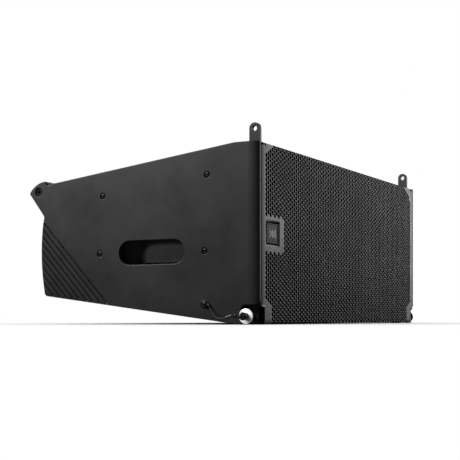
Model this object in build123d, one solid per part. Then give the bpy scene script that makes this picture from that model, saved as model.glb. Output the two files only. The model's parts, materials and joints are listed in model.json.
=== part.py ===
from build123d import *
import math
import os

# Powered line array loudspeaker: a wedge-shaped cabinet with two woofers, a central
# high-frequency horn, an amplifier on the back and built-in rigging on both sides.
#
# Everything is modelled in millimetres with X to the right as seen from the front,
# Y running back from the front face of the grille and Z up from the base.
# write_node() shifts each node along Y, so that the row's origin is the middle of the base.

# ---------------------------------------------------------------- driving dimensions

WIDTH = 757.0
FRONT_H = 288.0
WEDGE = 7.34                # slope of the top and of the bottom, degrees
TOP_FLAT = 42.0             # level strip at the front of the top
BOTTOM_FLAT = 35.0          # level strip at the front of the base
PANEL_T = 14.5              # side panel thickness
CORNER_BACK, CORNER_IN = 18.0, 6.0  # half axes of a side panel's rounded front corner
LIP_W = 8.5                 # width of the side panel that shows beside the grille

BOARD = 15.0                # cabinet boards
BOARD_INSET = 2.0           # boards lie this far inside the side panels' outline
BOX_HALF = 345.0            # half width over the box's own side walls
BACK_Y = 392.0              # outer face of the back board
BAFFLE_Y = 26.0
BAFFLE_T = 18.0
MID_Z = FRONT_H / 2

GRILLE_T = 1.5
GRILLE_HALF = 368.8
GRILLE_RETURN = 24.0
NOTCH_W = 20.2              # corner notch for the release pin, from the side plane
NOTCH_H = 28.0

SLOT_Y, SLOT_Z = 196.5, 118.7       # handle slot centre
SLOT_L, SLOT_H = 127.1, 40.6

LINK_T = 6.0
LINK_W = 18.8
LINK_LENGTH = 200.0
LINK_TOP = 320.5
LINK_Y = 17.0
LINK_INSET = 20.75          # link's outer face, from the side plane
LINK_TRAVEL = 32.5
CHEEK_T = 5.5
CHANNEL_Y0, CHANNEL_Y1 = 7.0, 32.0

PIN_R = 4.0                 # 8 mm quick-release pin
PIN_HOLE_R = 4.25
PIN_Y, PIN_Z = 17.0, 13.0
PIN_DISC_R = 12.25
PIN_DISC_OUT = 10.0         # the disc's outer face stands this far out from the side plane
PIN_DISC_T = 2.0
PIN_TIP_OUT = 28.0

EAR_Y, EAR_Z = 426.4, 229.2         # rear pivot
ARM_LENGTH = 75.0
ARM_W = 22.0
ARM_REST = -130.0           # the stowed arm's direction, degrees from +Y towards +Z

WOOFER_X = 201.0
WOOFER_R = 125.0
WOOFER_FRONT = 20.0
HF_OFFSET = 52.0            # each high-frequency driver, from the middle height

SIDE = WIDTH / 2
SLOPE = math.tan(math.radians(WEDGE))
RIB_PITCH = 8.9
RIB_COUNT = 11
CORD_D = 2.0


# ---------------------------------------------------------------- small helpers

def block(x0, x1, y0, y1, z0, z1):
    centre = Pos((x0 + x1) / 2, (y0 + y1) / 2, (z0 + z1) / 2)
    return centre * Box(abs(x1 - x0), abs(y1 - y0), abs(z1 - z0))


def rod(radius, start, end):
    direction = Vector(*end) - Vector(*start)
    return Solid.make_cylinder(radius, direction.length, Plane(origin=start, z_dir=direction))


def rod_x(radius, x0, x1, y, z):
    return rod(radius, (min(x0, x1), y, z), (max(x0, x1), y, z))


def rod_y(radius, y0, y1, x, z):
    return rod(radius, (x, y0, z), (x, y1, z))


def slab(face, x0, x1):
    """A face drawn in (Y, Z), made solid from x0 to x1."""
    return extrude(Plane.YZ.offset(min(x0, x1)) * face, abs(x1 - x0))


def polygon(*points):
    return make_face(Polyline(*points, close=True))


def turned(points, x, z):
    """A closed outline of (radius, Y) points, turned about an axis along Y through (x, z)."""
    return Pos(x, 0, z) * revolve(polygon(*points), Axis.Y)


def mirrored(shape):
    return mirror(shape, Plane.YZ)


def one(parts):
    """Joins a list of overlapping or touching shapes."""
    body = parts[0]
    for part in parts[1:]:
        body = body + part
    return body


def group(parts):
    """Keeps a list of shapes as separate solids of one node."""
    solids = []
    for part in parts:
        solids.extend(part.solids())
    return Compound(children=solids)


def cut(body, tools):
    for tool in tools:
        body = body - tool
    return body


def top_z(y, inset=0.0):
    bend = TOP_FLAT - inset * math.tan(math.radians(WEDGE / 2))
    return FRONT_H - inset - max(0.0, y - bend) * SLOPE


def bottom_z(y, inset=0.0):
    bend = BOTTOM_FLAT - inset * math.tan(math.radians(WEDGE / 2))
    return inset + max(0.0, y - bend) * SLOPE


def wedge_face(inset, y0, y1):
    """The cabinet's side outline, moved in from the top and the base by inset."""
    shift = inset * math.tan(math.radians(WEDGE / 2))
    return polygon(
        (y0, inset),
        (BOTTOM_FLAT - shift, inset),
        (y1, bottom_z(y1, inset)),
        (y1, top_z(y1, inset)),
        (TOP_FLAT - shift, FRONT_H - inset),
        (y0, FRONT_H - inset),
    )


# ---------------------------------------------------------------- screws

SCREW_R = 2.4
SCREW_HEAD_R = 4.8
SCREW_HEAD_H = 2.6
SOCKET_R = 1.6


def screw(seat, direction, length):
    """A button-head screw. seat is where the head's underside rests, direction is inward."""
    inward = Vector(*direction)
    base = Vector(*seat)
    top = base - inward * SCREW_HEAD_H
    head = rod(SCREW_HEAD_R, tuple(base), tuple(top))
    shank = rod(SCREW_R, tuple(base), tuple(base + inward * length))
    socket = rod(SOCKET_R, tuple(top), tuple(top + inward * 1.6))
    return head + shank - socket


def screw_hole(seat, direction, length):
    inward = Vector(*direction)
    base = Vector(*seat)
    return rod(SCREW_R + 0.05, tuple(base), tuple(base + inward * (length + 0.5)))


# ---------------------------------------------------------------- side panels

PANEL_SCREWS = [(91.8, 240.0), (96.0, 118.0), (292.3, 215.3), (298.5, 118.6)]
LUG_SCREW = (94.0, 32.0)
SCREW_SINK = 2.8
RIB_TOP = (413.8, 176.1)
RIB_LOW = (279.9, 33.3)
RIB_ANGLE = math.degrees(math.atan2(RIB_TOP[1] - RIB_LOW[1], RIB_TOP[0] - RIB_LOW[0]))
RIB_T = 5.0


def panel_face():
    """The side panel's outline, with the pivot ear at the top of its back edge."""
    low_rear = (412.7, bottom_z(412.7))
    neck_low, neck = (414.9, 180.8), (414.9, 186.8)
    tip_low, tip, tip_top = (443.4, 224.0), (445.0, 226.9), (444.2, 229.8)
    crest = (413.0, 247.2)
    valley = (391.0, top_z(391.0))
    return make_face([
        Line((0, 0), (BOTTOM_FLAT, 0)),
        Line((BOTTOM_FLAT, 0), low_rear),
        ThreePointArc(low_rear, (420.4, 118.0), (416.4, 179.6)),
        Line((416.4, 179.6), neck_low),
        Line(neck_low, neck),
        Line(neck, tip_low),
        ThreePointArc(tip_low, tip, tip_top),
        ThreePointArc(tip_top, (430.6, 241.8), crest),
        ThreePointArc(crest, (402.0, 244.5), valley),
        Line(valley, (TOP_FLAT, FRONT_H)),
        Line((TOP_FLAT, FRONT_H), (0, FRONT_H)),
        Line((0, FRONT_H), (0, 0)),
    ])


def rib_zone(offset):
    """The half plane below and behind the ribbed corner's edge, moved in by offset."""
    angle = math.radians(RIB_ANGLE)
    along = Vector(math.cos(angle), math.sin(angle))
    away = Vector(math.sin(angle), -math.cos(angle))
    a = Vector(*RIB_LOW) - along * 120 + away * offset
    b = Vector(*RIB_TOP) + along * 60 + away * offset
    return polygon((a.X, a.Y), (b.X, b.Y), (b.X + 200, b.Y), (b.X + 200, -150), (a.X, -150))


def pin_notch():
    """The open corner round the release pin, chamfered in front and rounded behind."""
    back, top, radius, chamfer = 31.0, 31.5, 8.0, 4.5
    middle = radius * math.sin(math.radians(45))
    centre_y, centre_z = back - radius, top - radius
    return make_face([
        Line((-1, -1), (back, -1)),
        Line((back, -1), (back, centre_z)),
        ThreePointArc((back, centre_z), (centre_y + middle, centre_z + middle), (centre_y, top)),
        Line((centre_y, top), (chamfer, top)),
        Line((chamfer, top), (-1, top + chamfer + 1)),
        Line((-1, top + chamfer + 1), (-1, -1)),
    ])


def front_corner():
    """What the rounding takes off a side panel's front corner, a quarter of an ellipse."""
    outer = -SIDE
    edge = block(outer - 1, outer + CORNER_IN, -1, CORNER_BACK, -1, FRONT_H + 1)
    place = Pos(outer + CORNER_IN, CORNER_BACK, -2)
    return edge - extrude(place * Ellipse(CORNER_IN, CORNER_BACK), FRONT_H + 4)


def side_panel():
    outer = -SIDE
    panel = slab(panel_face(), outer, outer + PANEL_T) - front_corner()
    slot_face = Pos(SLOT_Y, SLOT_Z) * SlotOverall(SLOT_L, SLOT_H)
    sink = [rod_x(SCREW_HEAD_R + 0.7, outer, outer + SCREW_SINK, y, z) for y, z in PANEL_SCREWS]
    bores = [screw_hole((outer + SCREW_SINK, y, z), (1, 0, 0), PANEL_T) for y, z in PANEL_SCREWS]
    notch = polygon((415.6, 249.0), (408.3, 239.9), (400.9, 239.8), (393.0, 244.5), (393.0, 249.0))
    cuts = [
        slab(slot_face, outer, outer + PANEL_T),
        block(outer + LIP_W, outer + PANEL_T, 0, 8.0, 0, FRONT_H),
        slab(pin_notch(), outer, outer + PANEL_T),
        slab(rib_zone(0.0), outer, outer + RIB_T),
        slab(notch, outer, outer + 5.0),
        rod_x(7.8, outer, outer + 8.0, EAR_Y, EAR_Z),
        rod_x(5.05, outer, outer + PANEL_T, EAR_Y, EAR_Z),
        screw_hole((outer, *LUG_SCREW), (1, 0, 0), 9.0),
    ]
    return cut(panel, cuts + sink + bores)


def rib_corner():
    """The ribbed insert on the lower back corner, with V grooves between its ribs."""
    outer = -SIDE
    insert = slab(panel_face(), outer, outer + RIB_T) & slab(rib_zone(1.2), outer, outer + RIB_T)
    angle = math.radians(RIB_ANGLE)
    for n in range(1, RIB_COUNT + 1):
        step = 1.2 + RIB_PITCH * n
        y = RIB_TOP[0] + math.sin(angle) * step - 90 * math.cos(angle)
        z = RIB_TOP[1] - math.cos(angle) * step - 90 * math.sin(angle)
        groove = Location((outer, y, z), (RIB_ANGLE, 0, 0)) * Rot(0, 45, 0) * Box(2.6, 420, 2.6)
        insert = insert - groove
    return insert


CUP_WALL = 2.5
CUP_DEPTH = 42.0            # the pocket's back wall, from the side plane
CUP_Z0, CUP_Z1 = 93.0, 150.0
CUP_GROOVE_Z = 103.5        # below this height the pocket runs deeper
CUP_GROOVE = 10.0


def cup_space(grow):
    """The hand pocket's inside, or its outside when grown by the wall thickness."""
    y0, y1 = 128.0 - grow, 268.0 + grow
    x0 = -SIDE + PANEL_T
    x1 = -SIDE + CUP_DEPTH + grow
    plan = make_face([
        Line((x0, y0), (x1, y0)),
        Line((x1, y0), (x1, 234.0)),
        ThreePointArc((x1, 234.0), (x0 + (x1 - x0) * 0.72, y1 - 9.5), (x0, y1)),
        Line((x0, y1), (x0, y0)),
    ])
    main = extrude(Pos(0, 0, CUP_Z0 - grow) * plan, CUP_Z1 - CUP_Z0 + 2 * grow)
    groove = block(x1 - 1, x1 + CUP_GROOVE, y0, 232.0 + grow, CUP_Z0 - grow, CUP_GROOVE_Z + grow)
    return main + groove


def handle_cup():
    inner = -SIDE + PANEL_T
    flange = block(inner, inner + 3.0, 122.0, 275.0, 87.0, 156.0)
    return flange + cup_space(CUP_WALL) - cup_space(0.0)


# ---------------------------------------------------------------- cabinet

AMP_W, AMP_Z0, AMP_Z1 = 330.0, 62.0, 228.0
AMP_HOLE_W, AMP_HOLE_Z0, AMP_HOLE_Z1 = 300.0, 74.0, 216.0
PANEL_PLATE_T = 3.0
AMP_SCREWS = [(x, z) for x in (-157.0, 157.0) for z in (70.0, 145.0, 220.0)]
GRILLE_SCREWS = [(x, z) for x in (-250.0, 0.0, 250.0) for z in (GRILLE_T, FRONT_H - GRILLE_T)]


def cabinet_shell():
    """Bent and glued boards: top, base, back and the box's two side walls."""
    wide = SIDE - PANEL_T
    deep = BOARD_INSET + BOARD
    body = slab(wedge_face(BOARD_INSET, 8.0, BACK_Y), -wide, wide)
    inside = slab(wedge_face(deep, 0.0, BACK_Y - BOARD), -(BOX_HALF - BOARD), BOX_HALF - BOARD)
    cuts = [inside]
    for sign in (-1, 1):
        cuts.append(slab(wedge_face(deep, 0.0, BACK_Y + 1), sign * BOX_HALF, sign * (wide + 1)))
        cuts.append(block(sign * BOX_HALF, sign * (wide + 1), 0, 34.0, -1, FRONT_H + 1))
        cuts.append(block(sign * BOX_HALF, sign * (wide + 1), 352.0, BACK_Y + 1, MID_Z, FRONT_H))
        cuts.append(block(sign * 320.0, sign * (BOX_HALF + 1), 124.0, 272.0, 89.0, 154.0))
    half = AMP_HOLE_W / 2
    cuts.append(block(-half, half, BACK_Y - BOARD - 1, BACK_Y + 1, AMP_HOLE_Z0, AMP_HOLE_Z1))
    for x, z in AMP_SCREWS:
        cuts.append(screw_hole((x, BACK_Y + PANEL_PLATE_T, z), (0, -1, 0), 14.0))
    for x, z in GRILLE_SCREWS:
        inward = 1 if z < MID_Z else -1
        cuts.append(screw_hole((x, 18.0, z), (0, 0, inward), 10.0))
    return cut(body, cuts)


PORTS = [(x, z) for x in (-310.0, 310.0) for z in (MID_Z - 99.0, MID_Z + 99.0)]
PORT_R = 16.0
PORT_END = 118.0
HORN_HALF_W, HORN_HALF_H = 66.0, 116.0
WOOFER_BOLTS = 8
WOOFER_BOLT_R = 117.0


def woofer_screw_places():
    places = []
    for centre in (-WOOFER_X, WOOFER_X):
        for n in range(WOOFER_BOLTS):
            angle = math.radians((n + 0.5) * 360 / WOOFER_BOLTS)
            x = centre + WOOFER_BOLT_R * math.cos(angle)
            places.append((x, MID_Z + WOOFER_BOLT_R * math.sin(angle)))
    return places


def front_baffle():
    back = BAFFLE_Y + BAFFLE_T
    board = block(-329.5, 329.5, BAFFLE_Y, back, 18.8, 269.2)
    cuts = [rod_y(108.0, BAFFLE_Y - 1, back + 1, x, MID_Z) for x in (-WOOFER_X, WOOFER_X)]
    cuts += [rod_y(PORT_R, BAFFLE_Y - 1, back + 1, x, z) for x, z in PORTS]
    cuts += [screw_hole((x, BAFFLE_Y - 1, z), (0, 1, 0), 15.0) for x, z in woofer_screw_places()]
    cuts.append(block(-HORN_HALF_W, HORN_HALF_W, BAFFLE_Y - 1, back + 1,
                      MID_Z - HORN_HALF_H, MID_Z + HORN_HALF_H))
    return cut(board, cuts)


def port_tubes():
    tubes = []
    for x, z in PORTS:
        tube = rod_y(PORT_R, BAFFLE_Y, PORT_END, x, z)
        tubes.append(tube - rod_y(PORT_R - 2.0, 0, PORT_END + 1, x, z))
    return group(tubes)


# ---------------------------------------------------------------- grille and badge

BADGE_X0, BADGE_X1 = 27.3, 77.9     # from the side plane
BADGE_Z0, BADGE_Z1 = 127.0, 164.0


def grille():
    """A folded steel sheet. Its perforation is left out here."""
    half = GRILLE_HALF
    bar = BOX_HALF - 1.0
    front = block(-half, half, 0, GRILLE_T, 0, FRONT_H)
    top = block(-bar, bar, 0, GRILLE_RETURN, FRONT_H - GRILLE_T, FRONT_H)
    low = block(-bar, bar, 0, GRILLE_RETURN, 0, GRILLE_T)
    ends = [block(s * (half - GRILLE_T), s * half, 0, 7.0, NOTCH_H, FRONT_H) for s in (-1, 1)]
    sheet = one([front, top, low, *ends])
    folds = [e for e in sheet.edges().filter_by(Axis.X)
             if e.length > 2 * bar and abs(e.center().Y) < 0.1]
    sheet = fillet(folds, 1.4)
    cuts = [block(s * (SIDE - NOTCH_W), s * (half + 1), -1, 8, -1, NOTCH_H) for s in (-1, 1)]
    cuts.append(block(-SIDE + BADGE_X0, -SIDE + BADGE_X1, -1, 2, BADGE_Z0, BADGE_Z1))
    for x, z in GRILLE_SCREWS:
        inward = 1 if z < MID_Z else -1
        cuts.append(rod(SCREW_R + 0.05, (x, 18.0, z - 4 * inward), (x, 18.0, z + 4 * inward)))
    return cut(sheet, cuts)


def grille_foam():
    foam = block(-(BOX_HALF - 1), BOX_HALF - 1, 2.0, 6.0, 4.0, FRONT_H - 4.0)
    pocket = block(-SIDE + BADGE_X0 - 6, -SIDE + BADGE_X1 + 4, 0, 8, BADGE_Z0 - 4, BADGE_Z1 + 4)
    return foam - pocket


def badge_block(y0, y1, beside, above):
    """A block in the grille's window, grown or shrunk at its sides and at its top and base."""
    x0, x1 = -SIDE + BADGE_X0 - beside, -SIDE + BADGE_X1 + beside
    return block(x0, x1, y0, y1, BADGE_Z0 - above, BADGE_Z1 + above)


def badge_plate():
    """A blank plate with a raised rim, in a tray that is held behind the grille's window."""
    tray = badge_block(GRILLE_T, 5.0, 3.0, 3.0) - badge_block(0.0, 3.8, 0.3, 0.3)
    plate = badge_block(0.8, 4.4, -3.2, -2.2) - badge_block(0.0, 1.4, -5.2, -4.2)
    return tray + plate


# ---------------------------------------------------------------- rigging

LINK_X0 = -SIDE + LINK_INSET
CHEEK_OUT = -SIDE + PANEL_T                     # outer cheek's outer face
SLOT_X0 = CHEEK_OUT + CHEEK_T
SLOT_X1 = LINK_X0 + LINK_T + 0.75
CHEEK_IN = SLOT_X1 + CHEEK_T
GUIDE_Z = 165.0             # the fixed cross pin that the link's long slot rides on


def rigging_frame():
    """Front channel for the sliding link, with a strap back to the rear pivot lug."""
    channel = block(CHEEK_OUT, CHEEK_IN, CHANNEL_Y0, CHANNEL_Y1, 2.0, FRONT_H - 2.0)
    channel = channel - block(SLOT_X0, SLOT_X1, 0, CHANNEL_Y1 - 4.0, 0, FRONT_H)
    strap = slab(polygon(
        (CHANNEL_Y1 - 5, 168.0), (375.0, 168.0), (EAR_Y + 9.0, EAR_Z - 10.0),
        (EAR_Y - 4.0, EAR_Z + 11.0), (365.0, 200.0), (CHANNEL_Y1 - 5, 200.0),
    ), SLOT_X1, CHEEK_IN)
    lug = rod_x(13.0, SLOT_X1, CHEEK_IN, EAR_Y, EAR_Z)
    guide = rod_x(3.0, SLOT_X0 - 0.5, SLOT_X1 + 0.5, LINK_Y, GUIDE_Z)
    holes = [
        rod_x(5.05, SLOT_X1 - 1, CHEEK_IN + 1, EAR_Y, EAR_Z),
        rod_x(PIN_R + 0.06, CHEEK_OUT - 1, CHEEK_IN + 1, PIN_Y, PIN_Z),
    ]
    return cut(one([channel, strap, lug]), holes) + guide


def front_link():
    """A flat bar that rises out of the top and takes the pin of the cabinet above."""
    radius = LINK_W / 2
    top = LINK_TOP - radius
    low = LINK_TOP - LINK_LENGTH
    x1 = LINK_X0 + LINK_T
    bar = block(LINK_X0, x1, LINK_Y - radius, LINK_Y + radius, low, top)
    bar = bar + rod_x(radius, LINK_X0, x1, LINK_Y, top)
    hole = rod_x(PIN_HOLE_R, LINK_X0 - 1, x1 + 1, LINK_Y, top)
    slot_low, slot_high = GUIDE_Z + 0.3, GUIDE_Z + LINK_TRAVEL + 0.3
    run = block(LINK_X0 - 1, x1 + 1, LINK_Y - 3.3, LINK_Y + 3.3, slot_low, slot_high)
    ends = [rod_x(3.3, LINK_X0 - 1, x1 + 1, LINK_Y, z) for z in (slot_low, slot_high)]
    return cut(bar, [hole, run, *ends])


BUTTON_R = 2.6
EYE_OUT = 20.0              # the lanyard eye's distance out from the side plane
EYE_END_Y = 34.0
CRIMP_END_Y = 46.0
CRIMP_END_Z = 11.2


def release_pin():
    """Shank, bright disc, spindle and lanyard eye of the quick-release pin."""
    side = -SIDE
    shank = rod_x(PIN_R, side - PIN_DISC_OUT + 1, CHEEK_IN, PIN_Y, PIN_Z)
    shank = shank + rod_x(6.5, side - PIN_DISC_OUT + 1, side - 0.5, PIN_Y, PIN_Z)
    back = -PIN_DISC_OUT + PIN_DISC_T
    disc = turned_x([
        (0, back), (PIN_DISC_R - 0.6, back), (PIN_DISC_R, back - 0.6),
        (PIN_DISC_R, -PIN_DISC_OUT + 0.7), (PIN_DISC_R - 0.7, -PIN_DISC_OUT),
        (0, -PIN_DISC_OUT),
    ])
    spindle = turned_x([
        (0, -PIN_DISC_OUT + 1), (5.4, -PIN_DISC_OUT + 1), (5.4, -PIN_DISC_OUT - 1),
        (4.0, -PIN_DISC_OUT - 2.5), (4.0, -PIN_TIP_OUT + 3), (4.6, -PIN_TIP_OUT + 2),
        (4.6, -PIN_TIP_OUT + 0.8), (3.8, -PIN_TIP_OUT), (0, -PIN_TIP_OUT),
    ])
    collar = rod_x(6.4, side - EYE_OUT - 1, side - EYE_OUT + 1, PIN_Y, PIN_Z)
    tab = block(side - EYE_OUT - 1, side - EYE_OUT + 1, PIN_Y, EYE_END_Y, PIN_Z - 3, PIN_Z + 3)
    eye = rod_x(1.6, side - EYE_OUT - 2, side - EYE_OUT + 2, EYE_END_Y - 4, PIN_Z)
    end, before = lanyard_points()[-1], lanyard_points()[-2]
    wire = (end - before).normalized()
    crimp = rod(2.1, tuple(end + wire * 0.3), tuple(end + wire * 13.0))
    well = rod_x(BUTTON_R + 0.3, side - PIN_TIP_OUT - 1, side - PIN_TIP_OUT + 9, PIN_Y, PIN_Z)
    return cut(one([shank, disc, spindle, collar, tab - eye, crimp]), [well])


def turned_x(points):
    """A closed outline of (radius, X beyond the side plane) points about the pin's axis."""
    body = revolve(polygon(*points), Axis.Y)
    return Pos(-SIDE, PIN_Y, PIN_Z) * Rot(0, 0, -90) * body


def pin_button():
    """The spring button in the spindle's tip, which frees the pin's locking balls."""
    tip = -SIDE - PIN_TIP_OUT
    button = rod_x(BUTTON_R, tip - 2.6, tip + 5.0, PIN_Y, PIN_Z)
    rim = [e for e in button.edges() if e.center().X < tip - 2]
    return fillet(rim, 1.2)


LUG_T = 1.6
LUG_CRIMP_Y = 86.0
LUG_CRIMP_Z = 28.6


def lanyard_lug():
    """An eyelet under the anchor screw, with a crimp that holds the wire."""
    outer = -SIDE
    y, z = LUG_SCREW
    plate = rod_x(6.2, outer - LUG_T, outer, y, z)
    tail = rod_x(5.4, outer - LUG_T, outer, y + 5.6, z + 1.2)
    start, after = lanyard_points()[:2]
    wire = (after - start).normalized()
    crimp = rod(1.9, tuple(start), tuple(start - wire * 7.0))
    crimp = crimp & block(outer - 6, outer, start.Y - 9, start.Y + 9, z - 9, z + 9)
    hole = rod_x(SCREW_R + 0.05, outer - 6, outer + 1, y, z)
    seat = rod_x(SCREW_HEAD_R + 0.2, outer - 8, outer - LUG_T, y, z)
    neck = block(outer - LUG_T, outer, start.Y, y, start.Z - 2.0, start.Z + 4.0)
    return cut(one([plate, tail, neck, crimp]), [hole, seat])


def lanyard_points():
    """The wire's route from the lug's crimp to the pin's crimp."""
    route = [               # distance out from the side plane, Y, Z
        (2.4, LUG_CRIMP_Y, LUG_CRIMP_Z),
        (3.6, 82.4, 23.6),
        (6.6, 77.0, 17.6),
        (11.0, 69.6, 12.0),
        (15.8, 60.4, 9.2),
        (19.0, 52.4, 9.4),
        (EYE_OUT, CRIMP_END_Y, CRIMP_END_Z),
    ]
    return [Vector(-SIDE - out, y, z) for out, y, z in route]


def corner_radii(points):
    radii = []
    for before, here, after in zip(points, points[1:], points[2:]):
        back, on = here - before, after - here
        turn = math.radians(back.get_angle(on))
        radii.append(0.45 * min(back.length, on.length) / math.tan(turn / 2))
    return radii


def lanyard():
    points = lanyard_points()
    path = FilletPolyline(*points, radius=corner_radii(points))
    section = Plane(origin=points[0], z_dir=points[1] - points[0]) * Circle(CORD_D / 2)
    print("lanyard length", round(path.length, 2))
    return sweep(section, path)


def rear_arm():
    """The stowed link arm. It swings up about the ear's bolt to meet the cabinet above."""
    angle = math.radians(ARM_REST)
    end = (EAR_Y + ARM_LENGTH * math.cos(angle), EAR_Z + ARM_LENGTH * math.sin(angle))
    middle = ((EAR_Y + end[0]) / 2, (EAR_Z + end[1]) / 2)
    x0, x1 = LINK_X0, LINK_X0 + LINK_T
    bar = Location((0, *middle), (ARM_REST, 0, 0)) * Box(LINK_T, ARM_LENGTH, ARM_W)
    bar = Pos((x0 + x1) / 2, 0, 0) * bar
    ends = [rod_x(ARM_W / 2, x0, x1, y, z) for y, z in ((EAR_Y, EAR_Z), end)]
    bores = [rod_x(5.05, x0 - 1, x1 + 1, EAR_Y, EAR_Z), rod_x(PIN_HOLE_R, x0 - 1, x1 + 1, *end)]
    return cut(one([bar, *ends]), bores)


def rear_bolt():
    """Shoulder bolt in the ear, with its spacer and nut as separate solids."""
    outer = -SIDE
    head_x = outer + 8.0
    head = rod_x(6.5, head_x - 6.0, head_x, EAR_Y, EAR_Z)
    shank = rod_x(5.0, head_x, CHEEK_IN + 8.0, EAR_Y, EAR_Z)
    socket = rod_x(3.2, head_x - 6.0, head_x - 2.5, EAR_Y, EAR_Z)
    spacer = rod_x(8.0, CHEEK_OUT, LINK_X0 - 0.1, EAR_Y, EAR_Z)
    spacer = spacer - rod_x(5.02, CHEEK_OUT - 1, LINK_X0 + 1, EAR_Y, EAR_Z)
    nut = extrude(Plane.YZ.offset(CHEEK_IN) * Pos(EAR_Y, EAR_Z) * RegularPolygon(8.5, 6), 7.0)
    nut = nut - rod_x(5.02, CHEEK_IN - 1, CHEEK_IN + 9, EAR_Y, EAR_Z)
    return [head + shank - socket, spacer, nut]


# ---------------------------------------------------------------- woofers

FORMER_R = 25.5             # voice coil former
CONE_RIM = 22.0
SPIDER_SEAT = 77.0          # ledge in the basket that carries the spider


def woofer_basket(x):
    frame = turned([
        (101.5, 20), (WOOFER_R, 20), (WOOFER_R, 26), (107, 26), (70, 82), (70, 88),
        (31, 88), (31, 84), (60, 84), (60, SPIDER_SEAT), (66.5, SPIDER_SEAT), (101.5, 27),
    ], x, MID_Z)
    cuts = []
    for n in range(6):
        window = Rot(0, n * 60, 0) * Pos(86, 54, 0) * Box(60, 40, 42)
        cuts.append(Pos(x, 0, MID_Z) * window)
    for place_x, z in woofer_screw_places():
        if abs(place_x - x) < WOOFER_R:
            cuts.append(screw_hole((place_x, 18, z), (0, 1, 0), 10))
    return cut(frame, cuts)


def woofer_cone(x):
    """Paper cone with a flat rim for the surround, and its dust cap, glued into one piece."""
    cone = turned([
        (83.8, CONE_RIM), (88.0, CONE_RIM), (88.0, CONE_RIM + 1.2), (84.2, CONE_RIM + 1.2),
        (27.0, 63.0), (FORMER_R, 64.0), (FORMER_R, 62.6),
    ], x, MID_Z)
    cap = turned([
        (0, 48.0), (12, 49.3), (22, 53.0), (29.6, 60.4), (28.0, 61.4), (21.2, 54.4),
        (11.8, 50.6), (0, 49.3),
    ], x, MID_Z)
    return cone + cap


def half_roll(inner, outer, y, thickness):
    """Outline of a half-round roll between two radii, standing towards the front."""
    centre, radius = (inner + outer) / 2, (outer - inner) / 2
    steps = 12
    crown = []
    base = []
    for n in range(steps + 1):
        angle = math.pi * n / steps
        crown.append((centre - radius * math.cos(angle), y - radius * math.sin(angle)))
        small = radius - thickness
        base.append((centre - small * math.cos(angle), y - small * math.sin(angle)))
    return crown + base[::-1]


def woofer_surround(x):
    edge = WOOFER_FRONT
    roll = turned(half_roll(87.2, 101.2, edge + 0.8, 1.2), x, MID_Z)
    lips = [
        turned([(100, edge - 1.4), (109, edge - 1.4), (109, edge), (100, edge)], x, MID_Z),
        turned([(82.4, CONE_RIM - 1.2), (88.2, CONE_RIM - 1.2), (88.2, CONE_RIM),
                (83.8, CONE_RIM)], x, MID_Z),
    ]
    return one([roll, *lips])


def woofer_spider(x):
    """Corrugated centring disc between the coil former and the basket."""
    steps = 28
    flat_from = 24
    inner, outer = FORMER_R + 0.3, 66.0
    front, back = [], []
    for n in range(steps + 1):
        radius = inner + (outer - inner) * n / steps
        wave = 1.6 * math.sin(math.pi * n / 2) if n < flat_from else 0.0
        front.append((radius, SPIDER_SEAT - 1.0 + wave))
        back.append((radius, SPIDER_SEAT + wave))
    return turned(front + back[::-1], x, MID_Z)


def voice_coil(x):
    inner = FORMER_R - 0.5
    former = turned([(inner, 62.6), (FORMER_R, 62.6), (FORMER_R, 104), (inner, 104)], x, MID_Z)
    winding = turned([(FORMER_R - 0.1, 86), (26.4, 86), (26.4, 102), (FORMER_R - 0.1, 102)],
                     x, MID_Z)
    return former + winding


def woofer_plate(x):
    return turned([(27.2, 88), (60, 88), (60, 96), (27.2, 96)], x, MID_Z)


def woofer_magnet(x):
    return turned([(34, 96), (62, 96), (62, 112), (34, 112)], x, MID_Z)


def woofer_yoke(x):
    return turned([(7, 90), (24, 90), (24, 112), (60, 112), (57, 121), (7, 121)], x, MID_Z)


# ---------------------------------------------------------------- high frequencies

HORN_Y0, THROAT_Y, DRIVER_Y = 22.0, 100.0, 130.0


def horn_loft(mouth, throat):
    """A four-sided flare, wide at the mouth and narrow at the throat."""
    sections = []
    for (width, height), y in ((mouth, HORN_Y0), (throat, THROAT_Y)):
        plane = Plane(origin=(0, y, MID_Z), x_dir=(1, 0, 0), z_dir=(0, -1, 0))
        sections.append(plane * Rectangle(width, height))
    return loft(sections)


def hf_waveguide():
    flange = block(-72, 72, HORN_Y0, BAFFLE_Y - 0.2, MID_Z - 122, MID_Z + 122)
    outside = horn_loft((131, 231), (40, 212))
    adapter = block(-24, 24, THROAT_Y - 4, DRIVER_Y, MID_Z - 106, MID_Z + 106)
    horn = one([flange, outside, adapter]) - horn_loft((124, 224), (22, 196))
    for sign in (-1, 1):
        z = MID_Z + sign * HF_OFFSET
        pad = rod_y(38.0, DRIVER_Y - 8, DRIVER_Y, 0, z)
        start = Plane(origin=(0, THROAT_Y - 0.5, z), x_dir=(1, 0, 0), z_dir=(0, -1, 0))
        end = Plane(origin=(0, DRIVER_Y, z), x_dir=(1, 0, 0), z_dir=(0, -1, 0))
        passage = loft([start * RectangleRounded(20, 88, 9), end * Circle(17.9)])
        horn = horn + pad - passage
    return horn


def hf_motor(z):
    """Compression driver: magnet and plates round the throat, with a closed back cover."""
    return turned([
        (18, 130), (46, 130), (48, 132), (48, 168), (44, 172), (44, 184), (40, 188), (0, 188),
        (0, 184), (38, 184), (40, 182), (40, 166), (18, 166),
    ], 0, z)


def hf_diaphragm(z):
    dome = [(0, 178.0), (10, 177.2), (20, 174.6), (30, 169.9), (37, 169.2), (37, 169.9),
            (30.4, 170.6), (20.3, 175.3), (10.1, 177.9), (0, 178.7)]
    return turned(dome, 0, z)


# ---------------------------------------------------------------- amplifier

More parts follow.
